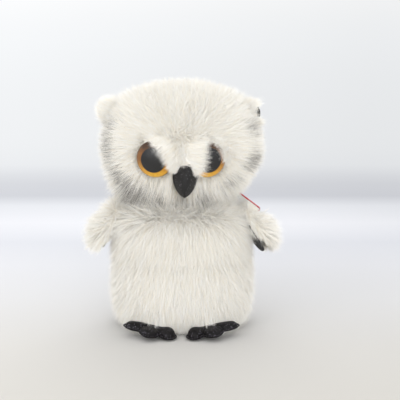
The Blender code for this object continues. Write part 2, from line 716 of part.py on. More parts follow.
def rounded_rectangle(width, length, corner):
    """Corner-rounded outline in the XY plane, from the origin's corner."""
    points = []
    for x, y, quarter in ((width - corner, corner, -1), (width - corner, length - corner, 0),
                          (corner, length - corner, 1), (corner, corner, 2)):
        for step in range(TAG_CORNER_STEPS + 1):
            angle = math.pi / 2 * (quarter + step / TAG_CORNER_STEPS)
            points.append((x + corner * math.cos(angle), y + corner * math.sin(angle)))
    return points


def tag_seam():
    """Where the fastener leaves the neck seam: on the torso, just clear of the head."""
    low, high = 0.0, 1.0
    for _ in range(SEARCH_STEPS):
        middle = (low + high) / 2
        place = torso_point(TAG_SEAM_TURN, middle)
        away = place - HEAD_CENTRE
        if away.length - head_radius(away) > TAG_SEAM_CLEARANCE:
            low = middle
        else:
            high = middle
    return torso_point(TAG_SEAM_TURN, low)


def torso_reach(direction):
    """How far the torso reaches along a direction, from the origin."""
    places = [torso_point(math.tau * column / BALL_STEPS, row / BALL_STEPS)
              for column in range(BALL_STEPS) for row in range(BALL_STEPS + 1)]
    return max(place.dot(direction) for place in places)


def add_tag(card_finish, fastener_finish):
    """A blank card on a plastic fastener, lying on the slope of the shoulder."""
    fall = (-UP - TAG_NORMAL * (-UP).dot(TAG_NORMAL)).normalized()
    level = TAG_NORMAL.cross(fall)
    long_way = fall * math.cos(TAG_TURN) + level * math.sin(TAG_TURN)
    short_way = fall * math.sin(TAG_TURN) - level * math.cos(TAG_TURN)
    outward = TAG_NORMAL
    seam = tag_seam()
    joint = add_joint("joint_tag", Matrix.Translation(seam))
    stand_off = torso_reach(outward) + GAP + TAG_THICKNESS / 2 - seam.dot(outward)
    hole = seam + outward * stand_off + fall * TAG_DROP - level * TAG_SIDE_STEP
    corner = hole - (long_way + short_way) * TAG_HOLE_INSET
    rows = []
    for level_share in (-0.5, 0.5):
        rows.append([corner + short_way * x + long_way * y + outward * (level_share * TAG_THICKNESS)
                     for x, y in rounded_rectangle(TAG_WIDTH, TAG_LENGTH, TAG_CORNER)])
    card = add_object("tag_card", capped_loft(rows), card_finish, smooth=False)
    through = TAG_THICKNESS + CUT_OVERRUN
    outline = [(0, -through), (TAG_HOLE_RADIUS, -through), (TAG_HOLE_RADIUS, through), (0, through)]
    tool = as_tool(add_object("cut_tag_hole", turned(outline, TAG_HOLE_STEPS), None))
    tool.matrix_world = frame_at(hole, outward, fall)
    cut(card, tool)
    bar_centre = hole + outward * (TAG_THICKNESS / 2 + GAP + FASTENER_RADIUS)
    stem_start = seam + outward * GAP
    under_hole = hole - outward * FASTENER_END
    stem_middle = (seam + under_hole) / 2 + outward * (FASTENER_BOW + FASTENER_RISE / 2)
    bar = [bar_centre - level * (FASTENER_BAR / 2), bar_centre + level * (FASTENER_BAR / 2)]
    stem_turn = seam + outward * FASTENER_RISE
    stem = [stem_start, stem_turn, stem_middle, under_hole, bar_centre + outward * FASTENER_RADIUS / 2]
    fastener = add_object("tag_fastener", tube(stem, FASTENER_RADIUS), fastener_finish)
    bar_tool = as_tool(add_object("join_fastener_bar", tube(bar, FASTENER_BAR_RADIUS), None))
    cut(fastener, bar_tool, "UNION")
    for piece in (card, fastener, tool, bar_tool):
        carry(piece, joint)


def tube(points, radius):
    """A round bar through a few points."""
    rings = []
    for index, point in enumerate(points):
        before = points[max(index - 1, 0)]
        after = points[min(index + 1, len(points) - 1)]
        frame = frame_at(point, after - before, TAG_NORMAL.cross(UP))
        ring = []
        for side in range(BAR_SIDES):
            turn = math.tau * side / BAR_SIDES
            ring.append(frame @ Vector((radius * math.cos(turn), radius * math.sin(turn), 0)))
        rings.append(ring)
    return capped_loft(rings)


def add_label(material):
    """The folded sewn-in label that stands out of the centre-back seam."""
    share = next(step / 100 for step in range(100) if torso_outline(step / 100)[1] > LABEL_HEIGHT)
    start = torso_point(math.pi / 2, share) + Vector((0, GAP, 0))
    away = Vector((0, math.cos(LABEL_DROOP), -math.sin(LABEL_DROOP)))
    lift = Vector((0, math.sin(LABEL_DROOP), math.cos(LABEL_DROOP)))
    outline = [(0, -1), (LABEL_LENGTH, -1), (LABEL_LENGTH + LABEL_FOLD, 0), (LABEL_LENGTH, 1), (0, 1)]
    inner = [(0, 1), (LABEL_LENGTH, 1), (LABEL_LENGTH, 0), (LABEL_LENGTH, -1), (0, -1)]
    leaf = LABEL_FOLD / 2 + LABEL_THICKNESS
    slot = LABEL_FOLD / 2
    loop = [(x, sign * leaf) for x, sign in outline] + [(x, sign * slot) for x, sign in inner]
    rows = []
    for half in (-LABEL_WIDTH / 2, LABEL_WIDTH / 2):
        rows.append([start + away * x + lift * z + Vector((half, 0, 0)) for x, z in loop])
    add_object("care_label", capped_loft(rows), material, smooth=False)


def build():
    start_empty()
    pile = finish("white_pile", (0.83, 0.81, 0.76), 0.95)
    cloth = finish("base_cloth", (0.72, 0.70, 0.66), 0.9)
    fibre = finish("polyester_fibre", (0.86, 0.86, 0.86), 1.0)
    pellets = finish("pellet_bag_cloth", (0.65, 0.66, 0.68), 0.8)
    glitter = finish("black_glitter_cloth", (0.03, 0.03, 0.03), 0.55)
    lens = finish("amber_lens", (0.72, 0.36, 0.06), 0.08)
    black_plastic = finish("black_plastic", (0.02, 0.02, 0.02), 0.2)
    white_plastic = finish("white_plastic", (0.8, 0.8, 0.8), 0.4)
    card = finish("tag_card", (0.9, 0.9, 0.88), 0.5)
    satin = finish("satin_label", (0.88, 0.88, 0.88), 0.4)

    ball = NECK_BALL_RADIUS + GAP
    collar_outer = NECK_CORE_RADIUS + GAP + COLLAR_WIDTH
    collar_inner = NECK_CORE_RADIUS + GAP

    ball_outline = [(ball * math.sin(turn), HEAD_CENTRE_HEIGHT + ball * math.cos(turn))
                    for turn in (math.tau * step / BALL_STEPS for step in range(1, BALL_STEPS // 2))]
    ball_outline.insert(0, (0, HEAD_CENTRE_HEIGHT + ball))
    ball_outline.append((0, HEAD_CENTRE_HEIGHT - ball))
    dish = as_tool(add_object("cut_neck_dish", turned(ball_outline, BALL_STEPS), None))
    opening = collar_outer + GAP
    collar_floor = ball_height(collar_outer, ball) - COLLAR_DEPTH
    mouth = as_tool(add_object("cut_neck_opening", turned(
        [(0, collar_floor - CUT_OVERRUN), (opening, collar_floor - CUT_OVERRUN),
         (opening, HEAD_CENTRE_HEIGHT), (0, HEAD_CENTRE_HEIGHT)]), None))

    quarter = math.pi / 2
    front = torso_panel("torso_front_panel", -math.pi, 0, pile)
    back_left = torso_panel("torso_back_panel_left", 0, quarter, pile)
    back_right = torso_panel("torso_back_panel_right", quarter, math.pi, pile)
    for panel in (front, back_left, back_right):
        cut(panel, mouth)
        cut(panel, dish)

    base_rings = []
    for level, depth_share in ((0, 0.0), (BASE_PANEL_THICKNESS, 1.0)):
        ring = []
        for column in range(FORM_COLUMNS):
            edge = torso_point(math.tau * column / FORM_COLUMNS, 0.0, depth_share)
            flat = Vector((edge.x, edge.y, 0))
            ring.append(flat - flat.normalized() * 2 * GAP + UP * level)
        base_rings.append(ring)
    add_object("base_panel", capped_loft(base_rings), cloth)
    torso_filling("pellet_bag", BASE_PANEL_THICKNESS + GAP, PELLET_HEIGHT, pellets)
    stuffing_top = collar_floor - GAP
    stuffing = torso_filling("torso_stuffing", PELLET_HEIGHT + GAP, stuffing_top, fibre)
    core = as_tool(add_object("join_torso_neck", turned(
        [(0, stuffing_top - CUT_OVERRUN), (NECK_CORE_RADIUS, stuffing_top - CUT_OVERRUN),
         (NECK_CORE_RADIUS, HEAD_CENTRE_HEIGHT - ball / 2), (0, HEAD_CENTRE_HEIGHT - ball / 2)]), None))
    cut(stuffing, core, "UNION")
    cut(stuffing, dish)

    turn_joint = add_joint("joint_head_turn", Matrix.Translation(HEAD_CENTRE))
    nod_joint = add_joint("joint_head_nod", Matrix.Translation(HEAD_CENTRE), turn_joint)
    collar_middle = (collar_inner + collar_outer) / 2
    collar = add_object("neck_collar", turned(
        [(collar_inner, collar_floor), (collar_outer, collar_floor),
         (collar_outer, ball_height(collar_outer, ball)), (collar_middle, ball_height(collar_middle, ball)),
         (collar_inner, ball_height(collar_inner, ball))], closed=True), cloth)
    carry(collar, turn_joint)

    face = head_panel("head_front_panel", -1, pile)
    back = head_panel("head_back_panel", 1, pile)
    end = math.pi / 2
    front_rows = head_rows(-1, HEAD_PILE + HEAD_FILL_GAP, FORM_COLUMNS, end)
    back_rows = head_rows(1, HEAD_PILE + HEAD_FILL_GAP, FORM_COLUMNS, end)
    made, _ = loft(front_rows + back_rows[-2::-1])
    head_stuffing = add_object("head_stuffing", made, fibre)
    within = HEAD_CENTRE_HEIGHT - NECK_BALL_RADIUS / 2
    below = ball_height(0, ball) - CUT_OVERRUN
    head_hole = as_tool(add_object("cut_head_opening", turned(
        [(0, below), (collar_inner, below), (collar_inner, within), (0, within)]), None))
    plug_rows = [(0, within), (NECK_CORE_RADIUS, within)]
    for step in range(PLUG_STEPS):
        radius = NECK_CORE_RADIUS * (1 - step / (PLUG_STEPS - 1))
        plug_rows.append((radius, ball_height(radius, NECK_BALL_RADIUS)))
    plug = as_tool(add_object("join_head_neck", turned(plug_rows), None))
    cut(head_stuffing, plug, "UNION")
    for panel in (face, back):
        cut(panel, head_hole)
    for piece in (face, back, head_stuffing, head_hole, plug):
        carry(piece, nod_joint)

    outer_rows = head_rows(-1, -GAP, FORM_COLUMNS, end)
    rear_rows = head_rows(1, -GAP, FORM_COLUMNS, end)
    made, _ = loft(outer_rows + rear_rows[-2::-1])
    head_tool = as_tool(add_object("cut_head_form", made, None))
    carry(head_tool, nod_joint)

    for side, label in ((1, "left"), (-1, "right")):
        add_eye(side, label, nod_joint, face, head_stuffing, lens, black_plastic, white_plastic)
        add_ear(side, label, nod_joint, head_tool, pile, glitter)
        add_foot(side, label, glitter, fibre, glitter)
    add_wing(1, "left", WING_LEAN_LEFT, WING_TWIST_LEFT, (front, back_left), pile, glitter)
    add_wing(-1, "right", WING_LEAN_RIGHT, WING_TWIST_RIGHT, (front, back_right), pile, glitter)

    beak = beak_form("beak", 0.0, glitter)
    pocket = as_tool(beak_form("cut_beak_pocket", GAP, None))
    cut(face, pocket)
    for piece in (beak, pocket):
        carry(piece, nod_joint)

    add_tag(card, white_plastic)
    add_label(satin)


build()
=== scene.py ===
"""Small plush owl: long white pile with a dark-banded ruff, amber eyes, black glitter feet and linings."""

import math
from functools import partial

import bmesh
import bpy
import numpy as np
from mathutils import Matrix, Vector


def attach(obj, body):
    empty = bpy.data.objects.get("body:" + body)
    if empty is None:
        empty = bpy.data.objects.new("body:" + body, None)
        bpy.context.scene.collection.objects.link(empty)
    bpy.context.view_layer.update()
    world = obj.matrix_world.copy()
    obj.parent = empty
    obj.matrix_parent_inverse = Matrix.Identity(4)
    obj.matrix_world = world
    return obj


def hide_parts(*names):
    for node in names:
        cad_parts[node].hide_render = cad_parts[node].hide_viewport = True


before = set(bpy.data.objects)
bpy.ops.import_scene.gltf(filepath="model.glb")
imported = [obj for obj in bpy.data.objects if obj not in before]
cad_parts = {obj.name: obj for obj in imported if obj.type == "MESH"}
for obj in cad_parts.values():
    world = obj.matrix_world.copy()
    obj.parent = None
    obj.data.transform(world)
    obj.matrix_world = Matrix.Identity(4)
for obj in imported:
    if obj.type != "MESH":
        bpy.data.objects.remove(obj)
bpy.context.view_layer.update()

MM = 0.001
UP = Vector((0, 0, 1))
FRONT = Vector((0, -1, 0))
SIDES = ((-1, "right"), (1, "left"))    # the owl's own right and left

# Camera, as far from the owl as the picture's flat perspective asks
VIEW_TARGET = Vector((10.9, 0, 75.5)) * MM
VIEW_DISTANCE = 870 * MM
VIEW_ELEVATION = math.radians(10)
VIEW_LENS = 130

# Lamps: name, place and size in metres, power in watts
LAMPS = (("key_light", (-0.36, -1.0, 0.44), 1.2, 6.0), ("fill_light", (0.30, -1.0, 0.14), 0.5, 3.9),
         ("back_light", (0.1, 0.9, 0.8), 1.0, 4.4))
AMBIENT = 0.86

# Floor: from 0.2 m in front of the owl to 0.8 m behind it, then the bright distance; it is darker towards
# the front, and its grey bands behind the owl are painted shade, the shadow in a backdrop's bend
FLOOR_HALF_SIZE = 12
FLOOR_AND_SHADE_STOPS = (
    (0.00, "#D2CFC8"), (0.14, "#D9D7D3"), (0.26, "#DEDEDF"), (0.36, "#DFE0E4"), (0.44, "#DADCE2"),
    (0.52, "#EBECF1"), (0.60, "#E9EBF0"), (0.65, "#D6D8DE"), (0.72, "#DADCE1"), (0.84, "#EBEDF0"),
    (1.00, "#EFF1F3"))
DISTANCE_STOPS = ((0.0, "#F0F2F4"), (0.4, "#F6F8FA"), (1.0, "#FCFDFE"))

# Torso, as in the solid
TORSO_HALF_WIDTH = 42 * MM
TORSO_HALF_DEPTH = 35 * MM
TORSO_HEIGHT = 79 * MM
TORSO_EDGE_LIFT = 0.5 * MM
TORSO_SQUARENESS = 2.4
TORSO_PILE = 7 * MM
TORSO_SEAM_PILE = 2.6 * MM
TORSO_BACKING_SHARE = 0.86          # of the pile's depth, where the cloth lies
TORSO_OUTLINE_SHARES = (
    (0.70, 0.000), (0.81, 0.018), (0.905, 0.068), (0.970, 0.150), (1.000, 0.290), (0.995, 0.470),
    (0.975, 0.640), (0.925, 0.790), (0.815, 0.888), (0.615, 0.950), (0.420, 0.981), (0.200, 1.000))

# Head, as in the solid
HEAD_CENTRE = Vector((0, 0, 109)) * MM
HEAD_HALF_WIDTH = 45.5 * MM
HEAD_HALF_DEPTH = 38 * MM
HEAD_HALF_HEIGHT = 37 * MM
HEAD_SQUARENESS = 2.2
HEAD_BACKING_DEPTH = 6.0 * MM       # cloth below the ends of the pile
NECK_BALL_RADIUS = 36 * MM
NECK_BALL_END = math.radians(42)
NECK_BLEND_END = math.radians(70)
NECK_GAP = 1.2 * MM                 # from the head's ball to the torso's cloth

# Eyes and beak
EYE_SPREAD = 16 * MM
EYE_DROP = 4 * MM
EYE_RADIUS = 11 * MM
EYE_DOME_HEIGHT = 6.4 * MM
EYE_RIM_HEIGHT = 1.2 * MM
EYE_SINK = 5.2 * MM
EYE_RIM_SHARES = ((1.0, 0.5), (0.985, 0.12), (0.95, 0.0), (0.5, 0.0))     # of radius and rim height
EYE_MAP_SHARE = 0.47                # of its colour map, half the eye's width
# Iris colour from top to bottom: the near-black browns at the top are painted shade from the brows, the
# amber below yellows downwards
IRIS_AND_SHADE_STOPS = ((0.0, "#241A14"), (0.11, "#4A321C"), (0.24, "#7A5024"), (0.45, "#7E5224"), (0.8, "#CC9528"),
              (1.0, "#EAB62C"))
BEAK_SHIFT = 2.0 * MM               # the beak sits a little to the owl's left
BEAK_LEAN = 3.0 * MM                # and its root leans that way too
BEAK_DROP = 6.4 * MM
BEAK_HEIGHT = 20 * MM
BEAK_HALF_WIDTH = 7.8 * MM
BEAK_REACH = 7.5 * MM
BEAK_ROOT = 4.5 * MM
BEAK_OUTLINE_SHARES = (
    (0.00, 0.50, 0.30), (0.12, 0.84, 0.62), (0.30, 1.00, 0.92), (0.48, 0.94, 1.00),
    (0.66, 0.80, 0.92), (0.80, 0.63, 0.72), (0.91, 0.43, 0.46), (0.97, 0.26, 0.22), (1.00, 0.05, 0.02))
BEAK_RIDGE_POWER = 1.6

# Pile at the eyes' rims: eye, name, arc in degrees, (direction in degrees, least distance) that it
# covers, fringe in millimetres, seed, and the place in degrees of a strand of dark hairs, painted
# shade at the top of the eye where the brows meet
BROWS = ((-1, "right", (-25, 112), (34, 4.4), 1.8, 31, None),
         (1, "left", (78, 208), (176, -0.4), 0.3, 32, 80),
         (1, "left_outer", (-2, 98), (18, 7.0), 2.2, 33, 90))

# Ruff of dark-banded hairs, seen from the front: its distance from the face's middle, by turn in
# degrees, and its patches as (turn, half width, amount)
RUFF_TURNS = (200, 225, 245, 290, 320, 345)
RUFF_DISTANCES = (0.77, 0.72, 0.65, 0.63, 0.70, 0.77)
RUFF_HALF_WIDTH = 0.11
RUFF_REACHES = (46, 39)             # sideways and up to the edge of the face, in millimetres
RUFF_SIGHT = (0.174, 0.985)         # what depth and height add to a height in the picture
RUFF_PATCHES = ((183, 26, 0.8), (222, 30, 0.95), (246, 18, 1.0), (293, 20, 0.85), (346, 15, 1.0),
                (166, 8, 0.8), (11, 9, 0.8), (325, 20, 0.5), (208, 24, 0.8))

# Ears
EAR_LIFT = math.radians(26)
EAR_HALF_WIDTH = 10 * MM
EAR_ROOT = -7 * MM
EAR_REACHES = {"right": 6.0 * MM, "left": 3.6 * MM}     # the left one is folded back
EAR_LINING_REACH = 6.6 * MM
EAR_LINING_BEHIND = 1.6 * MM
EAR_TIP_GAP = 0.1 * MM              # keeps the tip's last ring open
EAR_CUP = 2.5 * MM
EAR_TAPER_POWER = 2.2
EAR_CLOTH_INSET = 3.2 * MM          # from the ear's edge to its cloth's, on either side
EAR_LINING_INSET = 2.6 * MM
EAR_CLOTH_FRONT = 2.4 * MM
EAR_CLOTH_BACK = 0.3 * MM

# Wings
WING_ROOT_SPREAD = 39.5 * MM
WING_ROOT_HEIGHT = 68 * MM
WING_ROOT_HALF_WIDTH = 11.5 * MM
WING_HALF_WIDTH = 14.5 * MM
WING_LENGTH = 32 * MM
WING_CUP = 2.5 * MM
WING_LEAN = math.radians(32)
WING_TAPER_POWER = 3
WING_CLOTH_INSET = 2.5 * MM         # from the wing's edge to its cloth's, on either side
WING_CLOTH_OUTER = 2.6 * MM
WING_CLOTH_INNER = 1.6 * MM
WING_ROOT_OVERLAP = 3 * MM          # cloth inside the torso's pile
WING_LINING_BEHIND = 3.0 * MM
WING_LINING_START_SHARE = 0.2       # of the cloth's length
WING_LINING_SHARE = 1.05
WING_CLOTH_LENGTHS = {"right": 21.5 * MM, "left": 24 * MM}      # short of the hair's ends
WING_TWISTS = {"right": math.radians(-6), "left": math.radians(22)}
WING_HEMS = {"right": -5.0 * MM, "left": 1.8 * MM}      # how far the lining reaches past the cloth
WING_SAGS = {"right": 0.0, "left": 0.4 * MM}            # how far the lining hangs off it

# Fold between the left wing and the chest, where a line of painted shade runs, as seen from the front, in
# millimetres and as directions
WING_FOLD_START = (29.5, 73.5)
WING_FOLD_WAY = (0.655, -0.755)
WING_FOLD_SIDE = (0.755, 0.655)

# Feet
FOOT_SPREAD = 17 * MM
FOOT_FORWARD = 30.7 * MM
FOOT_SPLAY = math.radians(12)
FOOT_ROLL = math.radians(10)
FOOT_LENGTH = 18 * MM
FOOT_HALF_WIDTH = 15.5 * MM
FOOT_HEIGHT = 4.4 * MM
FOOT_LIFT = 0.3 * MM                # off the floor
FOOT_MIDDLE_SHARE = 0.36            # of its length, where the puffed top is centred
FOOT_OUTLINE_SHARES = (
    (-0.60, 0.00), (-0.88, 0.16), (-0.98, 0.42), (-0.88, 0.66), (-0.64, 0.72), (-0.42, 0.56), (-0.32, 0.80),
    (-0.06, 1.00), (0.20, 0.86), (0.40, 0.58), (0.70, 0.58), (0.98, 0.44), (0.96, 0.16), (0.62, 0.00),
    (0.00, -0.04))
TOE_SEAMS = (((-6.5, 10.1), (-2.2, 4.2)), ((6.2, 10.4), (2.4, 4.2)))      # millimetres from the heel
TOE_SHOULDER = 3.6                  # width of the rounding at a toe's edge, in millimetres
TOE_SEAM_DEPTH = 1.5
SEAM_LEVEL = 1.15                   # the foot's seam above its sole, in millimetres
SEAM_WIDTH = 0.9
STITCH_SPACING = 1.9                # millimetres from stitch to stitch
STITCH_SHARE = 0.62                 # of that spacing, a stitch's length

# Swing tag, as in the solid
TAG_SLOPE = math.radians(30)
TAG_FACING = math.radians(75)
TAG_TURN = math.radians(45)

# Cloth: the foot is blown up at fifty times its size, where the solver is steady
SIMULATED_SCALE = 50
PAD_FRAMES = 20
PAD_VOXEL = 0.55 * MM
PAD_RISE = 1.2 * MM                 # the most that the pressure may move a point
CLOTH_SETTINGS = {
    "quality": 6, "mass": 0.2, "tension_stiffness": 12, "compression_stiffness": 12, "shear_stiffness": 4,
    "bending_stiffness": 0.3, "use_pressure": True, "uniform_pressure_force": 4.0}

# Hair
TONE_COLUMNS = 16                   # strips of the hair's own colour map, one for each kind of hair
PLAIN_TONES = 8                     # of these, the plain cream ones
TONE_SHARE = PLAIN_TONES / TONE_COLUMNS
PILE_STOPS = ((0.0, "#FEFDFA"), (0.12, "#FBF8EF"), (0.24, "#FFFFFD"), (0.36, "#F9F3E7"), (0.47, "#FDFBF5"))
BAND_STOPS = ((0.0, 0), (TONE_SHARE, 0.35), (TONE_SHARE + 0.13, 0.55), (TONE_SHARE + 0.26, 0.8),
              (TONE_SHARE + 0.4, 1))
HAIR_POINTS = 5                     # corners of one hair
HAIR_FIELDS = ("skin_normal", "root", "rise", "reach", "sweep", "chance", "facing", "across", "along",
               "comb", "pile", "thick", "tone", "loose")
NORMAL_SHARE = 0.25                 # how far a hair takes its shade from the skin under it
LOWEST_HAIR = 0.3 * MM
HEAD_HAIR, EYE_RIM_HAIR, TORSO_HAIR = 10.2, 7.0, 10.2       # plain lengths, in millimetres
WING_HAIR, EAR_HAIR = 8.5, 6.0
FLAP_COLUMNS = 40                   # points round an ear's or a wing's ring
LINING_HALF_DEPTH = 0.5 * MM

# Kinds of node that come often
NUMBER, VECTOR = "ShaderNodeMath", "ShaderNodeVectorMath"
MIX, RANGE, RAMP = "ShaderNodeMix", "ShaderNodeMapRange", "ShaderNodeValToRGB"


# Nodes and materials

def linear(hex_colour, alpha=1.0):
    """Turn an sRGB hex colour into linear light."""
    parts = [int(hex_colour[place:place + 2], 16) / 255 for place in (1, 3, 5)]
    return (*[part / 12.92 if part <= 0.04045 else ((part + 0.055) / 1.055) ** 2.4 for part in parts],
            alpha)


def fill(node, inputs):
    """Set or link a node's inputs: a name means the socket in use, a node its first output in use."""
    for key, value in inputs.items():
        socket = node.inputs[key]
        if isinstance(key, str):
            socket = next(entry for entry in node.inputs if entry.enabled and entry.name == key)
        if isinstance(value, bpy.types.Node):
            value = next(entry for entry in value.outputs if entry.enabled)
        if isinstance(value, bpy.types.NodeSocket):
            node.id_data.links.new(value, socket)
        else:
            socket.default_value = linear(value) if str(value).startswith("#") else value


def add_node(tree, kind, inputs=(), stops=(), **settings):
    """Add a node with its settings and inputs, and a ramp's stops: hex colours or grey levels."""
    node = tree.nodes.new(kind)
    for name, value in settings.items():
        setattr(node, name, value)
    fill(node, dict(inputs))
    if stops:
        marks = node.color_ramp.elements
        while len(marks) < len(stops):
            marks.new(0.5)
        for mark, (place, colour) in zip(marks, stops):
            mark.position = place
            mark.color = linear(colour) if isinstance(colour, str) else (colour, colour, colour, 1)
    return node


def new_material(name, **values):
    """A Principled material with plain values on its own sockets, what adds a node to it, its shader."""
    made = bpy.data.materials.new(name)
    made.use_nodes = True
    shader = made.node_tree.nodes["Principled BSDF"]
    fill(shader, {key.replace("_", " ").title().replace("Ior", "IOR"): value
                  for key, value in values.items()})
    return made, partial(add_node, made.node_tree), shader


def fur_material():
    """Long-pile acrylic plush: matt, a soft bright edge where hairs catch the light, some dark-banded."""
    made, node, shader = new_material("acrylic_long_pile", roughness=0.85, sheen_weight=0.7,
                                      sheen_roughness=0.5, specular_ior_level=0.2)
    parts = node("ShaderNodeSeparateXYZ", {"Vector": node("ShaderNodeUVMap", uv_map="OFBake")}).outputs
    strip = node(NUMBER, {0: parts["X"], 1: TONE_COLUMNS}, operation="MULTIPLY")
    strip = node(NUMBER, {0: strip}, operation="FLOOR")
    share = node(NUMBER, {0: strip, 1: 1 / (TONE_COLUMNS - 1)}, operation="MULTIPLY")
    tip, dark = (node(RAMP, {"Fac": share}, stops) for stops in (PILE_STOPS, BAND_STOPS))
    tip.color_ramp.interpolation = dark.color_ramp.interpolation = "CONSTANT"
    rise, band_start, band_end = (
        node(RANGE, {"Value": parts["Y"], "From Min": start, "From Max": end, "To Min": low, "To Max": high},
             interpolation_type="SMOOTHSTEP")
        for start, end, low, high in ((0, 0.7, 0, 1), (0.42, 0.56, 0, 1), (0.86, 1, 1, 0)))
    band = node(NUMBER, {0: band_start, 1: band_end}, operation="MULTIPLY")
    amount = node(NUMBER, {0: band, 1: dark}, operation="MULTIPLY")
    root = node(MIX, {"Factor": 0.3, 6: tip, 7: "#F6EDDA"}, data_type="RGBA")
    plain = node(MIX, {"Factor": rise, 6: root, 7: tip}, data_type="RGBA")
    fill(shader, {"Base Color": node(MIX, {"Factor": amount, 6: plain, 7: "#4A4240"}, data_type="RGBA")})
    return made


def cloth_material(name, light, dark, spacing, roughness=0.9, sheen=0.2, depth=0.3):
    """Plain-woven or knitted cloth: two crossed sets of threads give a fine even grain."""
    made, node, shader = new_material(name, roughness=roughness, sheen_weight=sheen)
    place = node("ShaderNodeTexCoord").outputs["Object"]
    bands_per_unit = 0.314              # a wave texture of scale 1 repeats after this length
    warp, weft = (node("ShaderNodeTexWave", {"Vector": place, "Scale": bands_per_unit / spacing,
                                             "Distortion": 0.6, "Detail": 1.0},
                       bands_direction=direction).outputs["Fac"] for direction in ("X", "Z"))
    weave = node(NUMBER, {0: warp, 1: weft}, operation="MULTIPLY")
    bump = node("ShaderNodeBump", {"Height": weave, "Strength": depth, "Distance": spacing / 2})
    colour = node(MIX, {"Factor": weave, 6: dark, 7: light}, data_type="RGBA")
    fill(shader, {"Base Color": colour, "Normal": bump})
    return made


def clouded_material(name, light, dark, size, roughness, specks=None, grain=None, **values):
    """A finish with faint clouds, and on request specks (colour, cell, share, radius) and a raised
    grain (size, strength, depth)."""
    made, node, shader = new_material(name, roughness=roughness, **values)
    place = node("ShaderNodeTexCoord").outputs["Object"]
    cloud = node("ShaderNodeTexNoise", {"Vector": place, "Scale": 1 / size, "Detail": 3.0})
    colour = node(MIX, {"Factor": cloud.outputs["Fac"], 6: dark, 7: light}, data_type="RGBA")
    if specks:
        speck, cell, share, radius = specks
        cells = node("ShaderNodeTexVoronoi", {"Vector": place, "Scale": 1 / cell}).outputs
        pick = node("ShaderNodeSeparateColor", {"Color": cells["Color"]})
        lit = node(NUMBER, {0: pick, 1: 1 - share}, operation="GREATER_THAN")
        near = node(NUMBER, {0: cells["Distance"], 1: radius}, operation="LESS_THAN")
        spot = node(NUMBER, {0: lit, 1: near}, operation="MULTIPLY")
        colour = node(MIX, {"Factor": spot, 6: colour, 7: speck}, data_type="RGBA")
    fill(shader, {"Base Color": colour})
    if grain:
        size, strength, depth = grain
        noise = node("ShaderNodeTexNoise", {"Vector": place, "Scale": 1 / size, "Detail": 2.0})
        bump = node("ShaderNodeBump", {"Height": noise.outputs["Fac"], "Strength": strength,
                                       "Distance": depth})
        fill(shader, {"Normal": bump})
    return made


def eye_material():
    """Moulded acrylic eye, painted behind: a black pupil in an amber ring that yellows downwards; the ring's
    top is painted shade, near-black brown as if shaded by the brows.
    """
    made, node, shader = new_material("painted_acrylic_eye", roughness=0.36, ior=1.49, coat_weight=0.1,
                                      coat_roughness=0.12)
    place = node("ShaderNodeUVMap", uv_map="OFBake")
    centred = node(VECTOR, {0: place, 1: (0.5, 0.5, 0)}, operation="SUBTRACT")
    radius = node(VECTOR, {0: centred}, operation="LENGTH").outputs["Value"]
    height = node("ShaderNodeSeparateXYZ", {"Vector": centred}).outputs["Y"]
    streaks = node("ShaderNodeTexNoise", {"Vector": centred, "Scale": 14.0, "Detail": 3.0}).outputs["Fac"]
    down, fleck, outline, pupil = (
        node(RANGE, {"Value": value, "From Min": start, "From Max": end, "To Min": low, "To Max": high})
        for value, start, end, low, high in (
            (height, 0.35, -0.45, 0, 1), (streaks, 0.35, 0.7, 0, 0.35), (radius, 0.435, 0.47, 0, 1),
            (radius, 0.312, 0.322, 1, 0)))
    # Painted shade: the ring darkens to near-black brown at its top
    colour = node(RAMP, {"Fac": down}, IRIS_AND_SHADE_STOPS)
    for share, paint in ((fleck, "#8A4F14"), (outline, "#4A3526"), (pupil, "#161517")):
        colour = node(MIX, {"Factor": share, 6: colour, 7: paint}, data_type="RGBA")
    fill(shader, {"Base Color": colour})
    return made


def card_material():
    """Coated white card with a thin printed red line round its edge."""
    made, node, shader = new_material("coated_card", roughness=0.35, coat_weight=0.2)
    place = node("ShaderNodeUVMap", uv_map="OFBake")
    centred = node(VECTOR, {0: place, 1: (0.5, 0.5, 0)}, operation="SUBTRACT")
    off = node(VECTOR, {0: centred}, operation="ABSOLUTE")
    parts = node("ShaderNodeSeparateXYZ", {"Vector": off}).outputs
    wide = node(NUMBER, {0: parts["X"], 1: parts["Y"]}, operation="MAXIMUM")
    line = node(NUMBER, {0: wide, 1: 0.452}, operation="GREATER_THAN")
    fill(shader, {"Base Color": node(MIX, {"Factor": line, 6: "#FDFCFA", 7: "#CC3540"}, data_type="RGBA")})
    return made


# Curves and the forms of head and torso

def smooth(low, high, value):
    """Smooth step from 0 at low to 1 at high."""
    held = np.clip((value - low) / (high - low), 0, 1)
    return held * held * (3 - 2 * held)


def hump(centre, width, value):
    """Soft bump of height 1 at the centre, which reaches 0 one width away."""
    return 1 - smooth(0, width, np.abs(value - centre))


def unit(vectors):
    """The vectors, each one unit long."""
    return vectors / np.maximum(np.linalg.norm(vectors, axis=-1, keepdims=True), 1e-12)


def curve_at(points, shares):
    """Smooth curve through the points, read at shares of the way along them."""
    points = np.array(points, dtype=float)
    spans = len(points) - 1
    place = np.clip(np.atleast_1d(shares), 0, 1) * spans
    start = np.minimum(place.astype(int), spans - 1)
    t = (place - start)[:, None]
    padded = np.vstack([2 * points[0] - points[1], points, 2 * points[-1] - points[-2]])
    p, q, r, s = (padded[start + step] for step in range(4))
    return 0.5 * (2 * q + (r - p) * t + (2 * p - 5 * q + 4 * r - s) * t ** 2
                  + (3 * q - p - 3 * r + s) * t ** 3)


def signed_power(value, power):
    """A power of the size of a value, which keeps its sign."""
    return np.sign(value) * np.abs(value) ** power


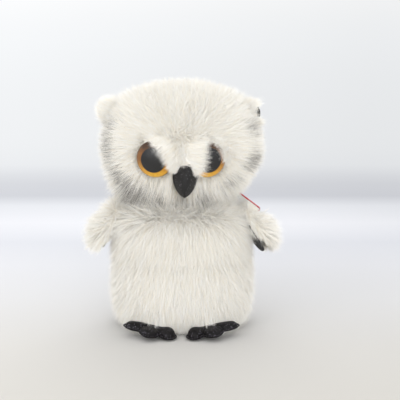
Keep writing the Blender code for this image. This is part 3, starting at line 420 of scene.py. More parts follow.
def head_radius(directions, inset=0.0):
    """Distance of the head's surface from its centre along directions."""
    d = unit(directions)
    sizes = np.array([HEAD_HALF_WIDTH, HEAD_HALF_DEPTH, HEAD_HALF_HEIGHT])
    form = (np.abs(d / sizes) ** HEAD_SQUARENESS).sum(axis=-1) ** (-1 / HEAD_SQUARENESS)
    off_bottom = np.arccos(np.clip(-d[..., 2], -1, 1))
    blend = smooth(NECK_BALL_END, NECK_BLEND_END, off_bottom)
    return NECK_BALL_RADIUS + (form - NECK_BALL_RADIUS) * blend - inset


def face_point(x, height, inset=0.0):
    """Point of the face's surface at a place seen from the front."""
    low, high = 0.0, HEAD_HALF_DEPTH
    for _ in range(40):
        middle = (low + high) / 2
        probe = np.array([x, -middle, height - HEAD_CENTRE.z])
        if np.linalg.norm(probe) < head_radius(probe, inset):
            low = middle
        else:
            high = middle
    return HEAD_CENTRE + Vector((x, -low, height - HEAD_CENTRE.z))


def torso_surface(turns, shares, inset_share):
    """Points of the torso's form: an inset of 0 is the ends of the pile, 1 the inside of the backing."""
    step = 0.002
    middle = curve_at(TORSO_OUTLINE_SHARES, shares)
    rise = curve_at(TORSO_OUTLINE_SHARES, shares + step) - curve_at(TORSO_OUTLINE_SHARES, shares - step)
    along = unit(rise * np.array([TORSO_HALF_WIDTH, TORSO_HEIGHT]))
    full = TORSO_SEAM_PILE + (TORSO_PILE - TORSO_SEAM_PILE) * smooth(0, 0.22, shares)
    inward = np.stack([-along[:, 1], along[:, 0]], axis=1) * (full * inset_share)[:, None]
    power = 2 / TORSO_SQUARENESS
    across = (middle[:, 0] * TORSO_HALF_WIDTH + inward[:, 0]) * signed_power(np.cos(turns), power)
    deep = (middle[:, 0] * TORSO_HALF_DEPTH + inward[:, 0]) * signed_power(np.sin(turns), power)
    height = TORSO_EDGE_LIFT + middle[:, 1] * (TORSO_HEIGHT - TORSO_EDGE_LIFT) + inward[:, 1]
    return np.stack([across, deep, height], axis=1)


# Meshes and node trees

def linked(name, data):
    """A new object in the scene."""
    made = bpy.data.objects.new(name, data)
    bpy.context.scene.collection.objects.link(made)
    return made


def mesh_object(name, points, faces, material=None):
    """A new smooth object at the origin, its faces turned outwards."""
    mesh = bpy.data.meshes.new(name)
    mesh.from_pydata([tuple(point) for point in points], [], [tuple(face) for face in faces])
    work = bmesh.new()
    work.from_mesh(mesh)
    bmesh.ops.recalc_face_normals(work, faces=work.faces)
    work.to_mesh(mesh)
    work.free()
    mesh.shade_smooth()
    if material:
        mesh.materials.append(material)
    return linked(name, mesh)


def grid_faces(rows, columns, closed=True, caps=True):
    """Faces between rows of points, each row closed into a ring, with both end rings filled."""
    faces = []
    for row in range(rows - 1):
        for column in range(columns if closed else columns - 1):
            after = (column + 1) % columns
            faces.append((row * columns + column, row * columns + after,
                          (row + 1) * columns + after, (row + 1) * columns + column))
    if caps:
        faces.append(tuple(range(columns)))
        faces.append(tuple((rows - 1) * columns + column for column in range(columns)))
    return faces


def places(thing):
    """The points of a mesh, or of an object's mesh, as an array."""
    mesh = thing.data if hasattr(thing, "data") else thing
    values = np.empty(len(mesh.vertices) * 3)
    mesh.vertices.foreach_get("co", values)
    return values.reshape(-1, 3)


def normals(thing):
    """The directions that a mesh's points face, as an array."""
    mesh = thing.data if hasattr(thing, "data") else thing
    values = np.empty(len(mesh.vertices) * 3)
    mesh.vertices.foreach_get("normal", values)
    return values.reshape(-1, 3)


def evaluated_mesh(thing, name, **options):
    """A plain copy of an object's mesh with its modifiers worked in."""
    graph = bpy.context.evaluated_depsgraph_get()
    mesh = bpy.data.meshes.new_from_object(thing.evaluated_get(graph), depsgraph=graph, **options)
    mesh.name = name
    return mesh


def run_tree(tree, thing, name, given, **options):
    """Run a node tree with its named inputs on an object that then goes; the result is a plain mesh."""
    modifier = thing.modifiers.new("nodes", "NODES")
    modifier.node_group = tree
    for item in tree.interface.items_tree:
        if item.in_out == "INPUT" and item.name in given:
            modifier[item.identifier] = given[item.name]
    mesh = evaluated_mesh(thing, name, **options)
    bpy.data.objects.remove(thing, do_unlink=True)
    return mesh


def open_tree(name, **inputs):
    """A new node tree with its named inputs, what adds a node to it, and its inputs' sockets."""
    tree = bpy.data.node_groups.new(name, "GeometryNodeTree")
    for label, kind in inputs.items():
        tree.interface.new_socket(label.replace("_", " "), in_out="INPUT", socket_type=f"NodeSocket{kind}")
    tree.interface.new_socket("Geometry", in_out="OUTPUT", socket_type="NodeSocketGeometry")
    return tree, partial(add_node, tree), tree.nodes.new("NodeGroupInput").outputs


def fur_tree():
    """Hair on a skin: roots scattered by the skin's own thickness, each bent along its comb into locks."""
    tree, node, given = open_tree(
        "hair_by_hair", Geometry="Geometry", Hair="Object", Hairs_per_Square_Metre="Float",
        Hair_Width="Float", Spread="Float", Lock_Spacing="Float", Lock_Pull="Float", Lock_Turn="Float",
        Droop="Float", Seed="Int", Material="Material")
    own = {name: node("GeometryNodeInputNamedAttribute", {"Name": name}, data_type=kind)
           for kind, names in (("FLOAT", ("thick", "loose", "pile", "reach", "along", "across")),
                               ("FLOAT_VECTOR", ("skin_normal", "comb", "rise", "root", "sweep", "facing")))
           for name in names}
    drawn = {}
    for name, shift, low, high, kind in (
            ("spread", 1, (-1, -1, -1), (1, 1, 1), "FLOAT_VECTOR"), ("length", 2, 0.7, 1.08, "FLOAT"),
            ("sweep", 3, (-1, -1, -1), (1, 1, 1), "FLOAT_VECTOR"), ("chance", 4, 0.0, 1.0, "FLOAT"),
            ("facing", 5, (-1, -1, -1), (1, 1, 1), "FLOAT_VECTOR"),
            ("lock", 11, (-1, -1, -1), (1, 1, 1), "FLOAT_VECTOR")):
        turn = node(NUMBER, {0: given["Seed"], 1: shift}, operation="ADD")
        drawn[name] = node("FunctionNodeRandomValue", {"Min": low, "Max": high, "Seed": turn},
                           data_type=kind)

    thick = node(NUMBER, {0: given["Hairs per Square Metre"], 1: own["thick"]}, operation="MULTIPLY")
    roots = node("GeometryNodeDistributePointsOnFaces",
                 {"Mesh": given["Geometry"], "Density": thick, "Seed": given["Seed"]},
                 distribute_method="RANDOM").outputs
    centres = node("GeometryNodeDistributePointsOnFaces",
                   {"Mesh": given["Geometry"], "Distance Min": given["Lock Spacing"], "Density Max": 1e6,
                    "Seed": given["Seed"]}, distribute_method="POISSON").outputs["Points"]
    here = node("GeometryNodeInputPosition")
    nearest = node("GeometryNodeSampleNearest", {"Geometry": centres}, domain="POINT")
    lock_place, lock_turn = (
        node("GeometryNodeSampleIndex", {"Geometry": centres, "Value": value, "Index": nearest},
             data_type="FLOAT_VECTOR", domain="POINT") for value in (here, drawn["lock"]))

    spread = node(NUMBER, {0: given["Spread"], 1: own["loose"]}, operation="MULTIPLY")
    rise = node(VECTOR, {0: own["skin_normal"], 1: own["comb"]}, operation="ADD")
    rise = node(VECTOR, {0: drawn["spread"], 1: spread, 2: rise}, operation="MULTIPLY_ADD")
    rise = node(VECTOR, {0: lock_turn, 1: given["Lock Turn"], 2: rise}, operation="MULTIPLY_ADD")
    rise = node(VECTOR, {0: rise}, operation="NORMALIZE")
    length = node(NUMBER, {0: own["pile"], 1: drawn["length"]}, operation="MULTIPLY")
    fall = node(NUMBER, {0: given["Droop"], 1: -1.0}, operation="MULTIPLY")
    sweep = node("ShaderNodeCombineXYZ", {"Z": fall})
    for value, share in ((own["comb"], 0.35), (drawn["sweep"], 0.12)):
        sweep = node(VECTOR, {0: value, 1: (share, share, share), 2: sweep}, operation="MULTIPLY_ADD")
    pull = node(VECTOR, {0: lock_place, 1: here}, operation="SUBTRACT")
    pull = node(VECTOR, {0: pull, 1: given["Lock Pull"]}, operation="MULTIPLY")
    sweep = node(VECTOR, {0: sweep, 1: length, 2: pull}, operation="MULTIPLY_ADD")
    facing = node(VECTOR, {0: drawn["facing"], 1: (0.7, 0.7, 0.7), 2: own["skin_normal"]},
                  operation="MULTIPLY_ADD")
    kept = roots["Points"]
    for name, value, kind in (("skin_normal", roots["Normal"], "FLOAT_VECTOR"),
                              ("root", here, "FLOAT_VECTOR"), ("rise", rise, "FLOAT_VECTOR"),
                              ("reach", length, "FLOAT"), ("sweep", sweep, "FLOAT_VECTOR"),
                              ("chance", drawn["chance"], "FLOAT"), ("facing", facing, "FLOAT_VECTOR")):
        kept = node("GeometryNodeStoreNamedAttribute", {"Geometry": kept, "Name": name, "Value": value},
                    data_type=kind, domain="POINT")

    hair = node("GeometryNodeObjectInfo", {"Object": given["Hair"]}).outputs["Geometry"]
    hairs = node("GeometryNodeInstanceOnPoints", {"Points": kept, "Instance": hair})
    loose = node("GeometryNodeRealizeInstances", {"Geometry": hairs})
    along = own["along"]
    squared, doubled, straight, across = (
        node(NUMBER, {0: first, 1: second}, operation="MULTIPLY")
        for first, second in ((along, along), (along, 2.0), (own["reach"], along),
                              (own["across"], given["Hair Width"])))
    place = node(VECTOR, {0: own["rise"], 1: straight, 2: own["root"]}, operation="MULTIPLY_ADD")
    place = node(VECTOR, {0: own["sweep"], 1: squared, 2: place}, operation="MULTIPLY_ADD")
    heading = node(VECTOR, {0: own["rise"], 1: own["reach"]}, operation="MULTIPLY")
    heading = node(VECTOR, {0: own["sweep"], 1: doubled, 2: heading}, operation="MULTIPLY_ADD")
    side = node(VECTOR, {0: heading, 1: own["facing"]}, operation="CROSS_PRODUCT")
    side = node(VECTOR, {0: side}, operation="NORMALIZE")
    place = node(VECTOR, {0: side, 1: across, 2: place}, operation="MULTIPLY_ADD")
    bent = node("GeometryNodeSetPosition", {"Geometry": loose, "Position": place})
    finished = node("GeometryNodeSetMaterial", {"Geometry": bent, "Material": given["Material"]})
    node("NodeGroupOutput", {"Geometry": finished})
    return tree


def one_hair():
    """The flat tapering ribbon that every hair starts as, with its own height and side stored on it."""
    across = [-0.5, 0.5, -0.425, 0.425, 0.0]
    along = [0.0, 0.0, 0.5, 0.5, 1.0]
    mesh = bpy.data.meshes.new("one_hair")
    mesh.from_pydata([(a, b, 0) for a, b in zip(across, along)], [], [(0, 1, 3, 2), (2, 3, 4)])
    set_fields(mesh, {"across": across, "along": along})
    made = linked("one_hair", mesh)
    made.hide_render = True
    return made


def set_fields(mesh, fields):
    """Store fields on a mesh's points: numbers or vectors."""
    for name, values in fields.items():
        values = np.asarray(values, dtype=np.float32)
        if values.ndim == 2:
            mesh.attributes.new(name, "FLOAT_VECTOR", "POINT").data.foreach_set("vector", values.ravel())
        else:
            mesh.attributes.new(name, "FLOAT", "POINT").data.foreach_set("value", values)


def hair_values(mesh, name, size=1):
    """A field of a mesh's points as an array: numbers, or vectors where size is 3."""
    values = np.empty(len(mesh.vertices) * size, dtype=np.float32)
    kind = "value" if size == 1 else "vector"
    mesh.attributes[name].data.foreach_get(kind, values)
    return values.reshape(-1, size) if size > 1 else values


def grow_fur(name, skin, fields, body, density, width=0.2 * MM, spread=0.28, lock_spacing=3 * MM,
             lock_pull=0.15, lock_turn=0.09, droop=0.1, seed=1):
    """Fur on a skin as one plain mesh; density is hairs per square millimetre where thick is 1."""
    source = linked("fur_source", skin.copy())
    set_fields(source.data, {"loose": np.ones(len(skin.vertices)), **fields})
    mesh = run_tree(FUR_TREE, source, name, {
        "Hair": HAIR, "Hairs per Square Metre": density / MM ** 2, "Hair Width": width, "Spread": spread,
        "Lock Spacing": lock_spacing, "Lock Pull": lock_pull, "Lock Turn": lock_turn, "Droop": droop,
        "Seed": seed, "Material": FUR}, preserve_all_data_layers=True)
    tone, chance = (hair_values(mesh, field)[::HAIR_POINTS] for field in ("tone", "chance"))
    second = (chance * 7919) % 1        # another even draw out of the same one
    banded = PLAIN_TONES + second * (TONE_COLUMNS - PLAIN_TONES) * np.clip(tone + 0.3, 0, 1)
    column = np.where(chance < tone, banded, second * PLAIN_TONES).astype(int)
    corner = np.empty(len(mesh.loops), dtype=np.int32)
    mesh.loops.foreach_get("vertex_index", corner)
    u = (column[corner // HAIR_POINTS] + 0.5 + hair_values(mesh, "across")[corner] * 0.8) / TONE_COLUMNS
    v = 0.01 + 0.98 * hair_values(mesh, "along")[corner]
    chart = mesh.uv_layers.new(name="OFBake")
    chart.uv.foreach_set("vector", np.stack([u, v], axis=1).astype(np.float32).ravel())
    skin_normal = unit(hair_values(mesh, "skin_normal", 3))
    spots = places(mesh)
    spots[:, 2] = np.maximum(spots[:, 2], LOWEST_HAIR)
    mesh.vertices.foreach_set("co", spots.ravel())
    mesh.update()
    own = unit(normals(mesh))
    mesh.shade_smooth()
    turned = unit(own * (1 - NORMAL_SHARE) + skin_normal * NORMAL_SHARE)
    mesh.normals_split_custom_set_from_vertices(turned.tolist())
    for field in HAIR_FIELDS:
        if field in mesh.attributes:
            mesh.attributes.remove(mesh.attributes[field])
    made = linked(name, mesh)
    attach(made, body)
    return made


def tangent(vectors, normal):
    """The part of vectors, or of one vector, that lies along a surface."""
    return vectors - normal * (vectors * normal).sum(axis=1, keepdims=True)


# Materials of all pieces; the pile's, the eyes' and the card's are told at their functions
FUR = fur_material()
EYE = eye_material()
CARD = card_material()
# Knitted and woven cloth: an even cream grain
BACKING = cloth_material("knitted_backing", "#F2EDE3", "#E2DBCC", 1.2 * MM)
BASE = cloth_material("woven_base_cloth", "#ECE7DC", "#CFC8BA", 0.9 * MM)
# Satin weave: a tighter grain that shines a little
SATIN = cloth_material("woven_satin_ribbon", "#F6F5F2", "#E4E2DD", 0.35 * MM, 0.4, 0.3, 0.15)
# Black cloth with glitter printed on it: dark, with a faint purple cast and pale specks for the glitter
# flakes, which are real, while their pale colour is partly painted glint for the flakes' sparks; real
# glitter is finer than a pixel, so it is drawn at half a millimetre
GLITTER = clouded_material("black_glitter_cloth", "#1B181A", "#0D0C0C", 4 * MM, 0.55,
                           ("#8C8894", 0.55 * MM, 0.1, 0.42), (0.5 * MM, 0.5, 0.2 * MM),
                           specular_ior_level=0.16)
# Flock on the beak: matt black with fine paler fibres
BEAK = clouded_material("flocked_black_beak", "#131213", "#131213", 1 * MM, 0.75,
                        ("#5E5C62", 0.75 * MM, 0.14, 0.35), (0.75 * MM, 0.2, 0.375 * MM))
# Fibre filling: dull and cloudy; gauze: the pellets show through it as pale dots
FIBRE = clouded_material("polyester_fibre_fill", "#F4F4F2", "#D9D9D6", 3 * MM, 0.95)
PELLETS = clouded_material("pellet_bag_gauze", "#C9CCD0", "#C9CCD0", 2 * MM, 0.8,
                           ("#EEF0F2", 2 * MM, 0.5, 0.35), (2 * MM, 0.2, 1 * MM))
# Moulded and drawn plastics: smooth, with a slight gloss; thread: dull and nearly black
WHITE_PLASTIC = clouded_material("moulded_white_nylon", "#F1F1EE", "#E0E0DC", 2 * MM, 0.35)
BLACK_PLASTIC = clouded_material("moulded_black_plastic", "#1B1A1B", "#121212", 2 * MM, 0.3)
CLEAR_PLASTIC = clouded_material("drawn_clear_nylon", "#EDEDEA", "#DADAD6", 1 * MM, 0.25)
THREAD = clouded_material("black_polyester_thread", "#4A474D", "#2A282B", 0.6 * MM, 0.5)
FUR_TREE = fur_tree()
HAIR = one_hair()


# Pieces

def torso_backing():
    """The torso's sewn skin of backing cloth under the pile, dished where the head sits."""
    rows, columns = 64, 128
    shares = np.repeat(np.linspace(0, 1, rows), columns)
    turns = np.tile(np.arange(columns) / columns * math.tau, rows)
    points = torso_surface(turns, shares, TORSO_BACKING_SHARE)
    centre = np.array(HEAD_CENTRE)
    away = points - centre
    clear = NECK_BALL_RADIUS + NECK_GAP
    short = np.linalg.norm(away, axis=1) < clear
    points[short] = centre + unit(away[short]) * clear
    return mesh_object("torso_backing", points, grid_faces(rows, columns), BACKING)


def head_backing():
    """The head's sewn skin of backing cloth under the pile."""
    work = bmesh.new()
    bmesh.ops.create_icosphere(work, subdivisions=6, radius=1.0)
    mesh = bpy.data.meshes.new("head_backing")
    work.to_mesh(mesh)
    work.free()
    directions = unit(places(mesh))
    spots = np.array(HEAD_CENTRE) + directions * head_radius(directions, HEAD_BACKING_DEPTH)[:, None]
    mesh.vertices.foreach_set("co", spots.ravel())
    mesh.update()
    mesh.shade_smooth()
    mesh.materials.append(BACKING)
    return linked("head_backing", mesh)


def eye_axes(side):
    """Back of an eye's dome, and its directions sideways, up and out of the face."""
    x, z = side * EYE_SPREAD, HEAD_CENTRE.z - EYE_DROP
    place = face_point(x, z)
    reach = EYE_RADIUS / 2
    over = face_point(x + reach, z) - face_point(x - reach, z)
    rise = face_point(x, z + reach) - face_point(x, z - reach)
    outward = over.cross(rise).normalized()
    right = UP.cross(outward).normalized()
    return place - outward * EYE_SINK, right, outward.cross(right), outward


def eye_lens(side, label):
    """Moulded dome with a rolled rim; its colour map is laid flat across the eye."""
    origin, right, up, outward = eye_axes(side)
    steps, columns = 18, 56
    rise = EYE_DOME_HEIGHT - EYE_RIM_HEIGHT
    outline = [(EYE_RADIUS * math.sin(angle), EYE_RIM_HEIGHT + rise * math.cos(angle))
               for angle in (math.pi / 2 * step / steps for step in range(1, steps + 1))]
    outline += [(EYE_RADIUS * share, EYE_RIM_HEIGHT * level)
                for share, level in EYE_RIM_SHARES]
    turns = [math.tau * column / columns for column in range(columns)]
    points = [(0, 0, EYE_DOME_HEIGHT)]
    points += [(radius * math.cos(turn), radius * math.sin(turn), height)
               for radius, height in outline for turn in turns]
    faces = [(0, 1 + (column + 1) % columns, 1 + column) for column in range(columns)]
    faces += [tuple(1 + index for index in face)
              for face in grid_faces(len(outline), columns, caps=False)]
    faces.append(tuple(range(len(points) - columns, len(points))))
    placed = [origin + right * x + up * y + outward * z for x, y, z in points]
    made = mesh_object(f"eye_{label}_dome", placed, faces, EYE)
    chart = made.data.uv_layers.new(name="OFBake")
    for loop in made.data.loops:
        x, y, _ = points[loop.vertex_index]
        chart.uv[loop.index].vector = (0.5 + EYE_MAP_SHARE * x / EYE_RADIUS,
                                       0.5 + EYE_MAP_SHARE * y / EYE_RADIUS)
    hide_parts(f"eye_{label}_lens")
    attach(made, "head")


def beak_piece():
    """The flocked beak: a ridge down the front, full cheeks and a blunt tip."""
    rows, columns = 40, 36
    back = face_point(0, HEAD_CENTRE.z - BEAK_DROP - BEAK_HEIGHT / 2).y + BEAK_ROOT
    points = []
    for down, half_share, reach_share in curve_at(BEAK_OUTLINE_SHARES, np.linspace(0, 1, rows)):
        height = HEAD_CENTRE.z - BEAK_DROP - down * BEAK_HEIGHT
        half_width = BEAK_HALF_WIDTH * half_share
        reach = BEAK_REACH * reach_share + BEAK_ROOT
        middle = BEAK_SHIFT + BEAK_LEAN * (1 - down) ** 3
        for column in range(columns):
            angle = math.pi * column / (columns - 1)
            ridge = 1 - abs(math.cos(angle)) ** BEAK_RIDGE_POWER
            points.append((middle + half_width * math.cos(angle), back - reach * ridge, height))
    made = mesh_object("beak_flocked", points, grid_faces(rows, columns), BEAK)
    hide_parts("beak")
    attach(made, "head")
    return made


def head_fields(skin):
    """Comb, length, thickness and tone of the head's pile; places and lengths in it are millimetres."""
    spots, normal = places(skin), normals(skin)
    direction = unit(spots - np.array(HEAD_CENTRE))
    x, y, z = ((spots - np.array(HEAD_CENTRE)) / MM).T
    in_front = y < 0

    # Away from the beak in front, down behind, longest under the jaw and beside the ears
    away = tangent(direction - np.array([0, -1, -0.12]), normal)
    down = tangent(np.array([0.0, 0, -1]), normal)
    back = smooth(-0.1, 0.6, direction[:, 1])
    crown = smooth(0.3, 0.8, direction[:, 2])
    jaw = smooth(-0.25, -0.6, direction[:, 2])
    comb = unit(away) * (1 - back[:, None]) + down * back[:, None]
    comb = comb * (0.62 - 0.3 * crown + 0.25 * jaw + 0.5 * back)[:, None]
    comb[:, 2] -= 0.75 * jaw
    pile = HEAD_HAIR + 1.0 * crown + 5.0 * jaw + 1.4 * smooth(0.55, 0.95, np.abs(direction[:, 0]))
    pile = pile + 2.6 * hump(0, 15, np.hypot(np.abs(x) - 31, z - 21)) * hump(0, 18, y)
    pile = pile - 4.5 * smooth(14, 30, x) * smooth(-6, -18, z)      # clear of the tag
    loose = 1.1 + 1.0 * smooth(2, 16, z) + 0.5 * back + 0.9 * hump(0, 9, np.hypot(x, z - 9)) * in_front

    # A forelock that falls over the beak's root
    over_beak = hump(1, 8, x) * smooth(13, 5, z) * smooth(-9, -5, z) * in_front
    falling = tangent(np.stack([0.06 * x, x * 0, x * 0 - 0.75], axis=1), normal)
    comb = comb * (1 - over_beak[:, None]) + falling * over_beak[:, None]
    loose = loose + 0.7 * over_beak

    # None on the eyes, and short and parted round them
    thick = np.ones(len(spots))
    for side, _ in SIDES:
        origin, right, up, _ = (np.array(entry) for entry in eye_axes(side))
        across, over = ((spots - origin) @ axis / MM for axis in (right, up))
        past_rim = np.hypot(across, over) - EYE_RADIUS / MM
        thick[in_front & (past_rim < 0.2)] = 0
        near = hump(0, 7, np.clip(past_rim, 0, None)) * in_front
        near = near * (1 - 0.9 * smooth(0, 5, over) * smooth(24, 18, np.abs(x)))
        off_eye = tangent(across[:, None] * right + over[:, None] * up, normal)
        comb = comb * (1 - near[:, None]) + unit(off_eye) * 0.22 * near[:, None]
        pile = pile * (1 - near) + EYE_RIM_HAIR * near

    # None under the beak, and parted beside it
    beak_top = -BEAK_DROP / MM
    beak_low = beak_top - BEAK_HEIGHT / MM
    half = np.interp(-z, [-beak_top - 1, -beak_top + 5, -beak_top + 10, -beak_low], [3.0, 6.2, 5.2, 0.5])
    thick[(np.abs(x) < half) & (z < beak_top + 1) & (z > beak_low + 2) & in_front] = 0
    beside = hump(0, 6, np.clip(np.abs(x) - half, 0, None)) * in_front
    beside = beside * hump(0, 14, z - (beak_top + beak_low) / 2)
    parted = tangent(np.stack([np.sign(x) * 0.35, x * 0, x * 0 - 0.6], axis=1), normal)
    comb = comb * (1 - 0.6 * beside[:, None]) + parted * 0.6 * beside[:, None]
    pile = pile - 1.6 * beside

    # The ruff, on the head as the camera sees it
    seen = z * RUFF_SIGHT[1] + y * RUFF_SIGHT[0]
    turn = np.degrees(np.arctan2(seen, x)) % 360
    middle = np.interp(turn, RUFF_TURNS, RUFF_DISTANCES)
    edge = hump(middle, RUFF_HALF_WIDTH, np.hypot(x / RUFF_REACHES[0], seen / RUFF_REACHES[1]))
    tone = np.zeros(len(spots))
    for patch_turn, half_width, amount in RUFF_PATCHES:
        apart = (turn - patch_turn + 180) % 360 - 180
        tone = np.maximum(tone, hump(0, half_width, apart) * amount)
    tone = np.clip(tone * edge * smooth(16, 4, y), 0, 0.97)

    off_bottom = np.degrees(np.arccos(np.clip(-direction[:, 2], -1, 1)))
    thick = thick * smooth(30, 38, off_bottom)
    return spots, {"comb": comb, "pile": pile * MM, "thick": thick, "tone": tone, "loose": loose}


def masked(fields, mask):
    """The same fields with hair only where the mask is 1."""
    return {**fields, "thick": fields["thick"] * mask}


def brow(side, label, arc, cover, fringe, seed, painted_shade_at):
    """Long pile at the rim of an eye that falls over part of it, as a row of BROWS says."""
    origin, right, up, outward = eye_axes(side)
    rows, columns = 7, 40
    turn = math.radians(cover[0])
    points, piles, combs, tones = [], [], [], []
    for row in range(rows):
        apart_from_rim = row / (rows - 1)
        radius = EYE_RADIUS + (0.3 + 4.4 * apart_from_rim) * MM
        for column in range(columns):
            angle = math.radians(arc[0] + (arc[1] - arc[0]) * column / (columns - 1))
            over, rise = radius * math.cos(angle), radius * math.sin(angle)
            flat = origin + right * over + up * rise
            points.append(face_point(flat.x, flat.z, (3.5 + 1.0 * apart_from_rim) * MM))
            far = over * math.cos(turn) + rise * math.sin(turn)
            more = 1.6 * float(smooth(30, 70, math.degrees(angle))) * (label == "left_outer")
            piles.append(max(far - cover[1] * MM, 1.5 * MM) * (0.95 - 0.2 * apart_from_rim)
                         + (fringe + more) * MM)
            inward = right * (-0.75 * math.cos(turn) - 0.25 * math.cos(angle))
            inward += up * (-0.75 * math.sin(turn) - 0.25 * math.sin(angle))
            combs.append(inward * 1.03)
            # Painted shade: hairs near that place take the dark colour, standing in for the shade at the
            # eye's top
            apart = 99 if painted_shade_at is None else abs(math.degrees(angle) - painted_shade_at)
            tones.append(0.02 + 0.9 * float(smooth(13, 5, apart)))
    patch = mesh_object("brow_patch", points, grid_faces(rows, columns, closed=False, caps=False))
    facing = np.array([polygon.normal for polygon in patch.data.polygons]).mean(axis=0)
    if Vector(facing).dot(outward) < 0:
        patch.data.flip_normals()
    fields = {"comb": np.array(combs), "pile": piles, "thick": np.ones(len(points)), "tone": tones}
    grow_fur(f"brow_{label}_fur", patch.data, fields, "head", 32, width=0.22 * MM, spread=0.3,
             lock_spacing=2.2 * MM, lock_pull=0.2, lock_turn=0.15, droop=0.0, seed=seed)
    bpy.data.objects.remove(patch, do_unlink=True)


def build_head():
    """The head's skin with its pile, the eyes, the brows over them and the beak."""
    skin = head_backing()
    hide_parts("head_front_panel", "head_back_panel")
    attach(skin, "head")
    spots, fields = head_fields(skin)
    front = spots[:, 1] < 0
    crown = spots[:, 2] > HEAD_CENTRE.z + 8 * MM
    for name, mask, density, node, seed in (
            ("face_fur", front & ~crown, 10, "head_front_panel", 21),
            ("crown_front_fur", front & crown, 12, "head_front_panel", 22),
            ("head_back_fur", ~front & ~crown, 8, "head_back_panel", 23),
            ("crown_back_fur", ~front & crown, 10, "head_back_panel", 24)):
        fur = grow_fur(name, skin.data, masked(fields, mask), "head", density, spread=0.34, seed=seed)
        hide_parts(node)
    for side, label in SIDES:
        eye_lens(side, label)
    for row in BROWS:
        brow(*row)
    beak_piece()


def flap_points(stations, bend, front_share=0.62):
    """Rings of a flap that is domed in front and nearly flat behind."""
    front = round(FLAP_COLUMNS * front_share)
    points = []
    for along, half_width, thick_front, thick_back in stations:
        for count, way, thick, power in ((front, 1, thick_front, 0.8),
                                         (FLAP_COLUMNS - front, -1, -thick_back, 0.45)):
            for column in range(count):
                angle = math.pi * column / count
                points.append(bend(along, way * half_width * math.cos(angle),
                                   thick * math.sin(angle) ** power))
    return points


def ear_stations(reach, half_width, thickness):
    """Rings of a rounded ear: distance out from the head, half width, thickness in front and behind."""
    steps = 14
    stations = []
    for step in range(steps):
        along = EAR_ROOT + (reach - EAR_ROOT) * math.sin(math.pi / 2 * step / steps)
        taper = math.sqrt(max(0.0, 1 - (max(along, 0.0) / (reach + EAR_TIP_GAP)) ** EAR_TAPER_POWER))
        stations.append((along, half_width * taper, *thickness(taper)))
    return stations


def build_ear(side, label):
    """A rounded ear of pile with a glitter lining behind it, which a short and parted left ear shows."""
    outward = Vector((side * math.cos(EAR_LIFT), 0, math.sin(EAR_LIFT)))
    across = Vector((-side * math.sin(EAR_LIFT), 0, math.cos(EAR_LIFT)))
    base = float(head_radius(np.array(outward)))

    def bend(along, over, out):
        cup = EAR_CUP * (over / EAR_HALF_WIDTH) ** 2
        return HEAD_CENTRE + outward * (base + along) + across * over + FRONT * (out + cup)

    stations = ear_stations(EAR_REACHES[label], EAR_HALF_WIDTH - EAR_CLOTH_INSET,
                            lambda taper: (EAR_CLOTH_FRONT * math.sqrt(taper), EAR_CLOTH_BACK * taper))
    faces = grid_faces(len(stations), FLAP_COLUMNS)
    skin = mesh_object(f"ear_{label}_backing", flap_points(stations, bend), faces, BACKING)
    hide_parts(f"ear_{label}_tuft")
    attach(skin, "head")
    spots, normal = places(skin), normals(skin)
    comb = tangent(np.array(outward) * 1.3 + np.array(UP) * 0.25, normal)
    rise = ((spots - np.array(HEAD_CENTRE)) @ np.array(outward) - base) / MM
    over = (spots - np.array(HEAD_CENTRE)) @ np.array(across) / MM
    thick = (rise > -4) * np.where(normal[:, 1] > 0.75, 0.15, 1.0)
    pile = np.full(len(spots), EAR_HAIR)
    if label == "left":
        patch = np.hypot((rise - 3.2) / 3.9, (over + 3.2) / 2.9)
        bare = hump(1, 1, patch)
        thick = thick * smooth(0.9, 1.1, patch)
        comb = comb + tangent(np.array(across), normal) * (0.9 * np.sign(over + 3.2) * bare)[:, None]
        pile = pile + 1.5 - 2.5 * bare - 2.5 * smooth(1, 5, over)
    fields = {"comb": comb * 1.1, "pile": pile * MM, "thick": thick, "tone": np.full(len(spots), 0.03)}
    fur = grow_fur(f"ear_{label}_fur", skin.data, fields, "head", 14, spread=0.7, seed=41 + side)
    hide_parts(f"ear_{label}_tuft")
    stations = ear_stations(EAR_LINING_REACH, EAR_HALF_WIDTH - EAR_LINING_INSET,
                            lambda taper: (LINING_HALF_DEPTH, LINING_HALF_DEPTH))
    points = flap_points(stations, lambda along, over, out: bend(along, over, out - EAR_LINING_BEHIND))
    lining = mesh_object(f"ear_{label}_glitter_lining", points, faces, GLITTER)
    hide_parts(f"ear_{label}_lining")
    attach(lining, "head")


